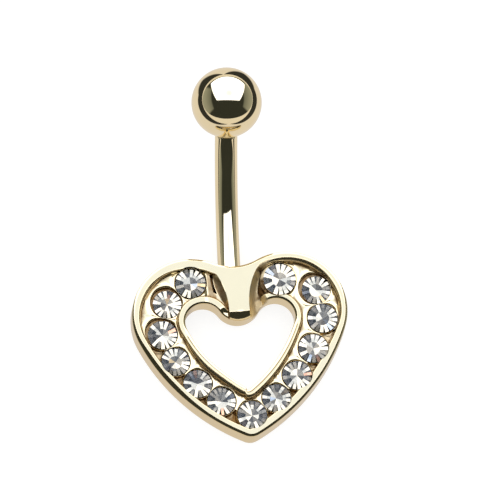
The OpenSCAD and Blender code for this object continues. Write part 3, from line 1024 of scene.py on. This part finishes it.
def ball_mesh():
    """The ball: its blind hole, flat seat and rounded edges as a profile turned round the bar's
    end direction, then the sphere, radius times the sine and cosine of an even angle."""
    centre = BALL_GAP + math.sqrt(BALL_RADIUS ** 2 - BAR_RADIUS ** 2)
    end = BALL_GAP + HOLE_DEPTH
    sweep = np.linspace(math.asin((BAR_RADIUS + SEAT_SOFT) / BALL_RADIUS), math.pi, BALL_RINGS)
    profile = np.array([
        (end, 0.0), (end - HOLE_CONE, HOLE_RADIUS - HOLE_STEP), (end - HOLE_SOFT, HOLE_RADIUS),
        (BALL_GAP + MOUTH_DEPTH, HOLE_RADIUS), (BALL_GAP, HOLE_RADIUS + HOLE_STEP),
        (BALL_GAP, BAR_RADIUS - SEAT_SOFT),
        *zip(centre - BALL_RADIUS * np.cos(sweep), BALL_RADIUS * np.sin(sweep)),
    ])
    return tube(turned_past_end(profile[:, 0], profile[:, 1], spokes(BALL_SPOKES)))


# The stones

RAYS = 16

# Tilt of the star's facets and fall of the outer ones, in degrees, and half a ray's angle
STAR_TILT = (-2.5, 4.0)
OUTER_FALL = (-2.5, 3.5)
RAY_HALF = (2.5, 6.0)
RAY_REACH = 0.985
BACK_LEAST = -0.01

# The foil: its colour, the painted dark of a ray and the colours of the painted glints, the levels of facets
# painted light and painted grey, and the chance of painted grey in the star and outside it. Facets of the
# star that face GREY_TO are all painted grey, and half of the outer ones that face DARK_TO are painted dark.
FOIL_BRIGHT = np.array([1.0, 0.88, 0.62])
FOIL_PAINTED_DARK = (0.02, 0.02, 0.01)
PAINTED_GLINTS = np.array([[1.0, 0.62, 0.50], [0.62, 0.74, 1.0], [1.0, 0.80, 0.52]])
PAINTED_GLINT_COUNT = 2
PAINTED_LIGHT_LEVEL = (0.75, 1.0)
PAINTED_GREY_LEVEL = (0.06, 0.36)
GREY_CHANCE = (0.35, 0.42)
GREY_TO = math.radians(50)
GREY_WITHIN = 0.6
DARK_TO = math.radians(185)
DARK_WITHIN = 0.72


def spread(angle):
    """Points of the unit circle."""
    return np.stack([np.cos(angle), np.sin(angle)], -1)


def stone_mesh(place, radius, turn, dice):
    """A round stone as flat facets between rings of corners: a wide table, sixteen crown facets,
    the girdle, and a foiled back. The back is a star of eight broad facets round the point, then
    sixteen narrow ones that run out to the girdle, each a flat plane with its own fall, with a
    ray painted dark between each two. Returns the corners, the facets, and for each facet whether it is
    foiled and the foil's colour, with light and shade painted into it: some facets painted grey, some
    painted dark, and two with a painted coloured glint."""
    step = FULL_TURN / RAYS
    e = np.arange(RAYS)
    n = (e + 1) % RAYS
    last = (e - 1) % RAYS
    edge = e * step

    # Star: the height of every other corner is chosen, and those between lie on its facets
    star_z = -BACK_DEPTH + STAR * np.tan(np.radians(dice.uniform(*STAR_TILT, RAYS)))
    star_z[1::2] = -BACK_DEPTH + ((star_z[::2] + np.roll(star_z[::2], -1)) / 2 + BACK_DEPTH) / math.cos(step)
    star = STAR * spread(edge)

    # Outer facets: each plane holds its star edge, and falls or rises across it
    chord = star[n] - star
    length = np.linalg.norm(chord, axis=1)
    chord = chord / length[:, None]
    across = np.stack([chord[:, 1], -chord[:, 0]], -1)
    fall = np.tan(np.radians(dice.uniform(*OUTER_FALL, RAYS)))
    slope = (star_z[n] - star_z)[:, None] / length[:, None] * chord + fall[:, None] * across
    half = np.radians(dice.uniform(*RAY_HALF, RAYS))

    def low_corner(angle):
        xy = RAY_REACH * spread(angle)
        return xy, np.minimum(star_z + ((xy - star) * slope).sum(1), BACK_LEAST)

    cos, sin = math.cos(turn), math.sin(turn)

    def ring(xy, z):
        flat = np.array(place) + radius * xy @ np.array([[cos, sin], [-sin, cos]])
        return np.column_stack([flat, np.broadcast_to(girdle_height(radius) + z * radius, len(flat))])

    points = np.concatenate([
        ring(TABLE * spread(edge), 2 * (GIRDLE + CROWN)),
        ring(spread(edge), 2 * GIRDLE),
        ring(spread(edge), 0.0),
        ring(*low_corner(edge + half)),
        ring(*low_corner(edge + step - half[n])),
        ring(star, star_z),
        ring(np.zeros((1, 2)), -BACK_DEPTH),
    ])
    top, girdle, left, right, inner, point = (k * RAYS for k in range(1, 7))

    def facets(*corners):
        return np.stack(np.broadcast_arrays(*corners), -1).tolist()

    even = e[::2]
    clear = [list(range(RAYS))] + facets(top + e, top + n, n, e)
    star_facets = facets(inner + even, point, inner + (even + 2) % RAYS, inner + even + 1)
    outer = facets(left + e, inner + e, inner + n, right + e)
    rays = facets(right + last, inner + e, left + e)
    band = facets(girdle + e, girdle + n, top + n, top + e)
    band += facets(girdle + e, right + last, left + e)
    band += facets(girdle + e, left + e, right + e, girdle + n)

    # Painted light and shade of the foil: facets painted light, grey and dark, dark rays and coloured glints
    # stand in for what the cut reflects
    facing = np.concatenate([edge[1::2], edge + step / 2]) + turn
    number = np.arange(len(facing))
    inside = number < len(star_facets)
    grey = dice.random(len(facing)) < np.where(inside, *GREY_CHANCE)
    grey |= inside & (np.cos(facing - GREY_TO) > GREY_WITHIN)
    level = np.where(grey, dice.uniform(*PAINTED_GREY_LEVEL, len(facing)), dice.uniform(*PAINTED_LIGHT_LEVEL, len(facing)))
    bright = level[:, None] * FOIL_BRIGHT
    bright[~inside & (np.cos(facing - DARK_TO) > DARK_WITHIN) & (number % 2 == 1)] = FOIL_PAINTED_DARK
    for flash in dice.choice(len(bright), PAINTED_GLINT_COUNT, replace=False):
        bright[flash] *= PAINTED_GLINTS[dice.integers(len(PAINTED_GLINTS))]
    shade = np.concatenate([bright, np.tile(FOIL_PAINTED_DARK, (RAYS, 1)), np.tile(FOIL_BRIGHT, (len(band), 1))])
    foiled = np.repeat(np.array([0, 1], np.int32), [len(clear), len(shade)])
    colours = np.concatenate([np.ones((len(clear), 3)), shade])
    return points, clear + star_facets + outer + rays + band, foiled, colours


# Pieces

MEND_ROUNDS = 3


def make_piece(name, points, faces, materials):
    """A mesh object at the origin from points in millimetres and lists of corners."""
    mesh = bpy.data.meshes.new(name)
    mesh.from_pydata((points * MM).tolist(), [], faces if isinstance(faces, list) else faces.tolist())
    for material in materials:
        mesh.materials.append(material)
    piece = bpy.data.objects.new(name, mesh)
    bpy.context.scene.collection.objects.link(piece)
    return piece


def add_value(piece, name, values):
    """Gives each corner of a mesh a value that its material can read."""
    attribute = piece.data.attributes.new(name, "FLOAT", "POINT")
    attribute.data.foreach_set("value", values.astype(np.float32))


def drop_loose(work):
    """Removes edges and corners that no face uses."""
    bmesh.ops.delete(work, geom=[edge for edge in work.edges if not edge.link_faces], context="EDGES")
    bmesh.ops.delete(work, geom=[vert for vert in work.verts if not vert.link_faces], context="VERTS")


def weld(piece, distance):
    """Joins corners closer than `distance` millimetres, drops faces left without area, mends
    places where the surface doesn't close, and turns all faces outwards."""
    work = bmesh.new()
    work.from_mesh(piece.data)
    bmesh.ops.remove_doubles(work, verts=work.verts, dist=distance * MM)
    bmesh.ops.dissolve_degenerate(work, edges=work.edges, dist=distance * MM)
    drop_loose(work)
    for _ in range(MEND_ROUNDS):
        for vert in work.verts:
            vert.tag = any(len(edge.link_faces) != 2 for edge in vert.link_edges)
        torn = [face for face in work.faces if any(vert.tag for vert in face.verts)]
        if not torn:
            break
        bmesh.ops.delete(work, geom=torn, context="FACES")
        drop_loose(work)
        bmesh.ops.holes_fill(work, edges=[edge for edge in work.edges if len(edge.link_faces) == 1], sides=0)
    bmesh.ops.recalc_face_normals(work, faces=work.faces)
    work.to_mesh(piece.data)
    work.free()


def shade_soft(piece, angle):
    """Smooth shading, with edges sharper than the angle left crisp."""
    piece.data.shade_smooth()
    piece.data.set_sharp_from_angle(angle=math.radians(angle))


# Finishes

class Nodes:
    """Short way to lay out a node tree: each call adds a node, sets its values and links. Inputs go
    by their names, or by their numbers as i0, i1 and so on."""

    def __init__(self, tree):
        self.tree = tree
        tree.nodes.clear()

    def add(self, kind, settings=None, **inputs):
        node = self.tree.nodes.new("ShaderNode" + kind)
        for key, value in (settings or {}).items():
            setattr(node, key, value)
        for key, value in inputs.items():
            place = int(key[1:]) if key[1:].isdigit() else key.replace("_", " ")
            self.give(node.inputs[place], value)
        return node

    def give(self, socket, value):
        """Links an input to another node's output, or sets its value."""
        if isinstance(value, bpy.types.NodeSocket):
            self.tree.links.new(value, socket)
        else:
            socket.default_value = value

    def math(self, operation, *values):
        node = self.add("Math", {"operation": operation})
        for socket, value in zip(node.inputs, values):
            self.give(socket, value)
        return node.outputs[0]

    def dot(self, vector, fixed):
        node = self.add("VectorMath", {"operation": "DOT_PRODUCT"}, i0=vector, i1=fixed)
        return node.outputs["Value"]

    def smooth(self, value, low, high):
        """Smooth step from 0 to 1 as the value goes from low to high."""
        node = self.add("MapRange", {"interpolation_type": "SMOOTHSTEP", "clamp": True},
                        Value=value, From_Min=low, From_Max=high, To_Min=0.0, To_Max=1.0)
        return node.outputs["Result"]

    def ramp(self, value, stops):
        """A colour that changes evenly between two stops, each a place and a colour."""
        node = self.add("ValToRGB", Fac=value)
        for element, (place, colour) in zip(node.color_ramp.elements, stops):
            element.position = place
            element.color = (*colour, 1.0)
        return node.outputs["Color"]

    def blend(self, factor, a, b):
        """From the first colour to the second by the factor, each a fixed one or a socket."""
        a, b = (c if isinstance(c, bpy.types.NodeSocket) else (*c, 1.0) for c in (a, b))
        return self.add("Mix", {"data_type": "RGBA"}, i0=factor, i6=a, i7=b).outputs[2]

    def noise(self, place, scale, **settings):
        """Soft random values over the piece, finer with a larger scale."""
        return self.add("TexNoise", Vector=place, Scale=scale, **settings).outputs["Fac"]


# Reflected colours of the heart's gold and of the bar's paler gold, and the brown of the painted shade in
# the heart's corners
HEART_GOLD = (0.95, 0.79, 0.46)
BAR_GOLD = (1.0, 0.87, 0.57)
PAINTED_SHADE_BROWN = (0.19, 0.10, 0.03)
HEART_GLOSS = 0.07
BAR_GLOSS = 0.015

# How far cloudiness darkens and dulls the plating, how high marks and grain stand in its bump, the
# factor and the lift of the grain that breaks up the painted shade, and how rough matt metal and metal under
# painted shade is
CLOUD_SHADE = 0.96
CLOUD_DULLS = 0.05
MARK_HEIGHT = 0.06
GRAIN_HEIGHT = 1.2
GRAIN_SHARE = (0.7, 0.6)
MATT_ROUGH = 0.38
STAIN_ROUGH = 0.3

# Places on a noise between which its ramps run
RAMP = (0.3, 0.7)
WHITE = (1.0, 1.0, 1.0)
GLASS_TINTS = ((0.97, 0.98, 1.0), WHITE)
FOIL_SHADES = ((0.93, 0.93, 0.93), WHITE)


def new_material(name):
    """A material, its nodes, and the socket that gives the place on the piece."""
    material = bpy.data.materials.new(name)
    material.use_nodes = True
    n = Nodes(material.node_tree)
    return material, n, n.add("TexCoord").outputs["Object"]


def gold_finish(name, gold, gloss_least, shaded=False):
    """Polished gold plating: a mirror with a faint cloudiness of colour and gloss, a soft ripple
    left by the polishing mop, and hair-fine marks. Where the piece carries a painted shade value, the
    metal is painted brown by it, painted shade in its corners, pits and recesses, and it is rougher there."""
    material, n, place = new_material(name)
    cloud = n.noise(place, 420.0, Detail=3.0, Roughness=0.55)
    tint = n.ramp(cloud, zip(RAMP, (tuple(c * CLOUD_SHADE for c in gold), gold)))
    marks = n.noise(place, 5200.0, Detail=2.0, Roughness=0.6)
    gloss = n.math("MULTIPLY_ADD", cloud, CLOUD_DULLS, gloss_least)
    ripple = n.noise(place, 900.0, Detail=1.0, Roughness=0.4)
    height = n.math("MULTIPLY_ADD", marks, MARK_HEIGHT, ripple)
    bump = n.add("Bump", Height=height, Strength=0.035, Distance=0.00005)
    shader = n.add("BsdfPrincipled", Base_Color=tint, Metallic=1.0, Roughness=gloss,
                   Normal=bump.outputs["Normal"])
    if shaded:
        matt = n.add("Attribute", {"attribute_name": "matt"}).outputs["Fac"]
        gloss = n.math("MULTIPLY_ADD", matt, MATT_ROUGH, gloss)
        painted_shade = n.add("Attribute", {"attribute_name": "painted_shade"}).outputs["Fac"]
        grain = n.noise(place, 2600.0, Detail=3.0)
        uneven = n.math("MULTIPLY_ADD", grain, *GRAIN_SHARE)
        depth = n.math("MINIMUM", n.math("MULTIPLY", painted_shade, uneven), 1.0)
        # Painted shade: the colour turns brown where the painted shade value is high
        n.give(shader.inputs["Base Color"], n.blend(depth, tint, PAINTED_SHADE_BROWN))
        n.give(shader.inputs["Roughness"], n.math("MULTIPLY_ADD", depth, STAIN_ROUGH, gloss))
        rough = n.math("MULTIPLY", grain, depth)
        n.give(bump.inputs["Height"], n.math("MULTIPLY_ADD", rough, GRAIN_HEIGHT, height))
    n.add("OutputMaterial", Surface=shader.outputs["BSDF"])
    return material


def stone_glass():
    """Clear cut glass, faintly cool, with the slightest unevenness of polish."""
    material, n, place = new_material("stone_glass")
    colour = n.ramp(n.noise(place, 1500.0, Detail=2.0), zip(RAMP, GLASS_TINTS))
    shader = n.add("BsdfPrincipled", Base_Color=colour, Metallic=0.0, Roughness=0.0, IOR=1.52)
    shader.inputs["Transmission Weight"].default_value = 1.0
    n.add("OutputMaterial", Surface=shader.outputs["BSDF"])
    return material


def stone_foil():
    """Silver foil on the stone's back: a bright mirror, with the painted light and shade of each facet from
    its foil value and a faint unevenness."""
    material, n, place = new_material("stone_foil")
    shade = n.add("Attribute", {"attribute_name": "foil"}).outputs["Color"]
    uneven = n.ramp(n.noise(place, 3000.0, Detail=2.0), zip(RAMP, FOIL_SHADES))
    colour = n.add("Mix", {"data_type": "RGBA", "blend_type": "MULTIPLY"}, i0=1.0, i6=shade, i7=uneven)
    shader = n.add("BsdfPrincipled", Base_Color=colour.outputs[2], Metallic=0.85, Roughness=0.04)
    n.add("OutputMaterial", Surface=shader.outputs["BSDF"])
    return material


# The studio

# Scale and size of the photo's frame, the pixel where the notch's middle lies, and the view
PIXELS_PER_MM = 14.1
PHOTO_SIDE = 477
PHOTO_ORIGIN = (234.77, 266.53)
VIEW_RIGHT = np.array([0.9927, -0.0988, 0.0694])
VIEW_UP = np.array([0.0764, 0.9590, 0.2730])
VIEW_BACK = np.array([-0.0936, -0.2657, 0.9595])
VIEW_DISTANCE = 150.0
VIEW_TARGET = np.array([0.0, OUTLINE["top"], 1.65])
CLIP = (0.001, 2.0)


def make_camera():
    """A long-lens view, square to the three view directions, framed as the photograph is."""
    data = bpy.data.cameras.new("camera")
    data.type = "ORTHO"
    data.ortho_scale = PHOTO_SIDE / PIXELS_PER_MM * MM
    data.clip_start, data.clip_end = CLIP
    camera = bpy.data.objects.new("camera", data)
    bpy.context.scene.collection.objects.link(camera)
    right = (PHOTO_SIDE / 2 - PHOTO_ORIGIN[0]) / PIXELS_PER_MM
    up = (PHOTO_ORIGIN[1] - PHOTO_SIDE / 2) / PIXELS_PER_MM
    place = VIEW_TARGET + right * VIEW_RIGHT + up * VIEW_UP + VIEW_DISTANCE * VIEW_BACK
    matrix = np.eye(4)
    matrix[:3, 0], matrix[:3, 1], matrix[:3, 2] = VIEW_RIGHT, VIEW_UP, VIEW_BACK
    turn, _ = np.linalg.qr(matrix[:3, :3])
    matrix[:3, :3] = turn * np.sign(np.sum(turn * matrix[:3, :3], axis=0))
    matrix[:3, 3] = place * MM
    camera.matrix_world = Matrix(matrix.tolist())
    bpy.context.scene.camera = camera


# Directions of the overhead light box: the way its face looks, and its two sides. FLAT_SEES is
# where the heart's flat metal looks, and there the box is a little dimmer.
BOX_FACE = (0.0286, 0.749, 0.658)
BOX_SIDE = (0.9927, -0.0988, 0.0694)
BOX_DOWN = (0.117, 0.6515, -0.746)
FLAT_SEES = (0.094, 0.266, 0.959)

# Edges of the box, by how far down and aside of its face they are. The two at its sides lean by
# their first value. LEAST keeps divisors off zero.
LEAST = 0.02
BOX_EDGE = (0.0, 0.05)
BOX_TOP = (-1.52, -1.44)
BOX_LEFT = (-0.1166, -0.98, -0.90)
BOX_RIGHT = (0.2662, 1.31, 1.22)
BOX_LOW = (0.185, 0.20)
BOX_FLAT = (0.965, 0.998)
BOX_LIGHT = ((2.0, 2.1, 2.5), (1.02, 1.17, 1.56))

# The low pale light rises to these shares of the way to the front and the back. The panels stand
# at each side, between two heights and two turns.
LOW_FRONT = 0.37
LOW_BACK = 0.15
LOW_EDGE = (0.0, 0.02)
LOW_LIGHT = (0.78, 0.73, 0.68)
ROOM = (0.030, 0.033, 0.028)
PANEL_TOP = (0.80, 0.60)
PANEL_BACK = (1.0, 0.75)
PANEL_FRONT = (-0.66, -0.48)
PANEL_GREY = ((0.17, 0.18, 0.155), (0.32, 0.33, 0.29))
GREY_FALL = (0.7, 0.0)


def make_world():
    """Soft studio light as the polished metal sees it: a large light box overhead, a dim room
    with a grey panel on each side, and pale light low down all round. Everything else sees an
    even pale light."""
    world = bpy.data.worlds.new("studio")
    bpy.context.scene.world = world
    world.use_nodes = True
    n = Nodes(world.node_tree)
    way = n.add("TexCoord").outputs["Generated"]
    axes = n.add("SeparateXYZ", Vector=way).outputs
    x, y, z = axes[0], axes[1], axes[2]

    facing = n.dot(way, BOX_FACE)
    depth = n.math("MAXIMUM", facing, LEAST)
    side = n.math("DIVIDE", n.dot(way, BOX_SIDE), depth)
    down = n.math("DIVIDE", n.dot(way, BOX_DOWN), depth)
    box = n.smooth(facing, *BOX_EDGE)
    box = n.math("MULTIPLY", box, n.smooth(down, *BOX_TOP))
    for lean, low, high in (BOX_LEFT, BOX_RIGHT):
        box = n.math("MULTIPLY", box, n.smooth(n.math("MULTIPLY_ADD", down, lean, side), low, high))
    box = n.math("MULTIPLY", box, n.smooth(z, *BOX_LOW))

    front = n.math("POWER", n.math("MAXIMUM", n.math("MULTIPLY", y, -1.0), 0.0), 2.0)
    back = n.math("POWER", n.math("MAXIMUM", y, 0.0), 2.0)
    low = n.math("MULTIPLY_ADD", front, LOW_FRONT, n.math("MULTIPLY", back, LOW_BACK))
    dim = n.smooth(n.math("SUBTRACT", z, low), *LOW_EDGE)

    wide = n.math("MAXIMUM", n.math("ABSOLUTE", x), LEAST)
    slope = n.math("DIVIDE", z, wide)
    turn = n.math("DIVIDE", y, wide)
    panel = n.math("MULTIPLY", n.smooth(slope, *PANEL_TOP), n.smooth(turn, *PANEL_BACK))
    panel = n.math("MULTIPLY", panel, n.smooth(turn, *PANEL_FRONT))

    room = n.blend(panel, ROOM, n.blend(n.smooth(slope, *GREY_FALL), *PANEL_GREY))
    room = n.blend(dim, LOW_LIGHT, room)
    room = n.blend(box, room, n.blend(n.smooth(n.dot(way, FLAT_SEES), *BOX_FLAT), *BOX_LIGHT))
    path = n.add("LightPath").outputs
    seen = n.math("MAXIMUM", path["Is Glossy Ray"], path["Is Transmission Ray"])
    colour = n.blend(seen, WHITE, room)
    background = n.add("Background", Color=colour, Strength=1.0)
    n.add("OutputWorld", Surface=background.outputs["Background"])


# The table: its size and height, the ellipse of painted light round the heart, where painted shade
# darkens it to the sides and behind, and its colours and glow
TABLE_SIZE = 600.0
TABLE_HEIGHT = -0.01
POOL_WIDE = 8.4
POOL_DEEP = 7.2
POOL_BELOW = 4.3
POOL_EDGE = (1.25, 1.02)
DARK_BEHIND = ((20.0, 22.5), (4.0, 6.5))
DARK_ASIDE = (16.5, 18.5)
PAINTED_POOL = ((0.75, 0.71, 0.69), (0.68, 0.63, 0.60))
PAINTED_TABLE_SHADE = (0.032, 0.033, 0.03)
TABLE_MATT = (0.32, 0.32, 0.32, 1.0)
GLOW = 0.78


def make_floor():
    """A plain pale table that glows a little, as a light table does, so shadows stay soft. The
    polished metal sees a painted reflection of it instead: a painted pool of light round the piece,
    painted warm close to the heart as a glow from the gold would make it, and painted dark to the sides and
    behind."""
    grid = np.linspace(-TABLE_SIZE, TABLE_SIZE, 3)
    points = np.stack(np.meshgrid(grid, grid, [TABLE_HEIGHT], indexing="ij"), -1).reshape(-1, 3)
    index = np.arange(9).reshape(3, 3)
    faces = np.stack([index[:-1, :-1], index[1:, :-1], index[1:, 1:], index[:-1, 1:]], -1).reshape(-1, 4)
    material, n, place = new_material("pale_table")
    axes = n.add("SeparateXYZ", Vector=place).outputs
    x = n.math("ABSOLUTE", n.math("MULTIPLY", axes[0], 1 / MM))
    y = n.math("MULTIPLY", axes[1], 1 / MM)
    wide = n.math("POWER", n.math("DIVIDE", x, POOL_WIDE), 2.0)
    deep = n.math("POWER", n.math("DIVIDE", n.math("ADD", y, POOL_BELOW), POOL_DEEP), 2.0)
    # Painted pool of light round the heart, painted dark to the sides and behind, seen only by glossy rays
    near = n.smooth(n.math("SQRT", n.math("ADD", wide, deep)), *POOL_EDGE)
    behind = n.math("MULTIPLY", *(n.smooth(value, *span) for value, span in zip((y, x), DARK_BEHIND)))
    dark = n.math("MAXIMUM", n.smooth(x, *DARK_ASIDE), behind)
    seen = n.blend(dark, n.blend(near, *PAINTED_POOL), PAINTED_TABLE_SHADE)
    painted_table = n.add("Emission", Color=seen, Strength=1.0)
    glow = n.add("Emission", Color=(*WHITE, 1.0), Strength=GLOW)
    matt = n.add("BsdfDiffuse", Color=TABLE_MATT)
    both = n.add("AddShader", i0=glow.outputs[0], i1=matt.outputs[0])
    glossy = n.add("LightPath").outputs["Is Glossy Ray"]
    choice = n.add("MixShader", i0=glossy, i1=both.outputs[0], i2=painted_table.outputs[0])
    n.add("OutputMaterial", Surface=choice.outputs[0])
    floor = make_piece("floor", points, faces, [material])


# Putting it together

# Distances within which corners are joined, angles above which edges stay crisp, the first seed
# of the stones, and how much further each stone is turned than the next
HEART_WELD = 0.002
BAR_WELD = 0.001
HEART_CRISP = 35
BAR_CRISP = 40
SEED = 40
STONE_TURN = 16

make_camera()
make_world()
make_floor()

gold_heart = gold_finish("gold_heart", HEART_GOLD, HEART_GLOSS, shaded=True)
gold_bar = gold_finish("gold_bar", BAR_GOLD, BAR_GLOSS)
glass = stone_glass()
foil = stone_foil()

points, faces, painted_shade = casting_mesh()
heart = make_piece("heart_casting", points, faces, [gold_heart])
add_value(heart, "painted_shade", painted_shade)
add_value(heart, "matt", matt_patch(points))
bar = make_piece("curved_bar", *bar_mesh(), [gold_bar])
ball = make_piece("screw_ball", *ball_mesh(), [gold_bar])
for piece in (heart, bar, ball):
    weld(piece, HEART_WELD if piece is heart else BAR_WELD)
    shade_soft(piece, HEART_CRISP if piece is heart else BAR_CRISP)

for piece in (heart, bar):
    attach(piece, "ring")
    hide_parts("heart_bar")
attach(ball, "ball")
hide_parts("ball")

for number, (name, (x, y, radius)) in enumerate(zip(STONE_NODES, STONES)):
    dice = np.random.default_rng(SEED + number)
    turn = math.radians(STONE_TURN * (len(STONES) - 1 - number))
    points, faces, foiled, shade = stone_mesh((x, y), radius, turn, dice)
    stone = make_piece(name + "_cut", points, faces, [glass, foil])
    stone.data.polygons.foreach_set("material_index", foiled)
    colours = stone.data.attributes.new("foil", "FLOAT_COLOR", "CORNER")
    corners = np.repeat(np.column_stack([shade, np.ones(len(shade))]), [len(face) for face in faces], axis=0)
    colours.data.foreach_set("color", corners.astype(np.float32).ravel())
    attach(stone, "ring")
    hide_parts(name)

bpy.context.scene.view_settings.view_transform = "Standard"
bpy.context.scene.view_settings.look = "None"
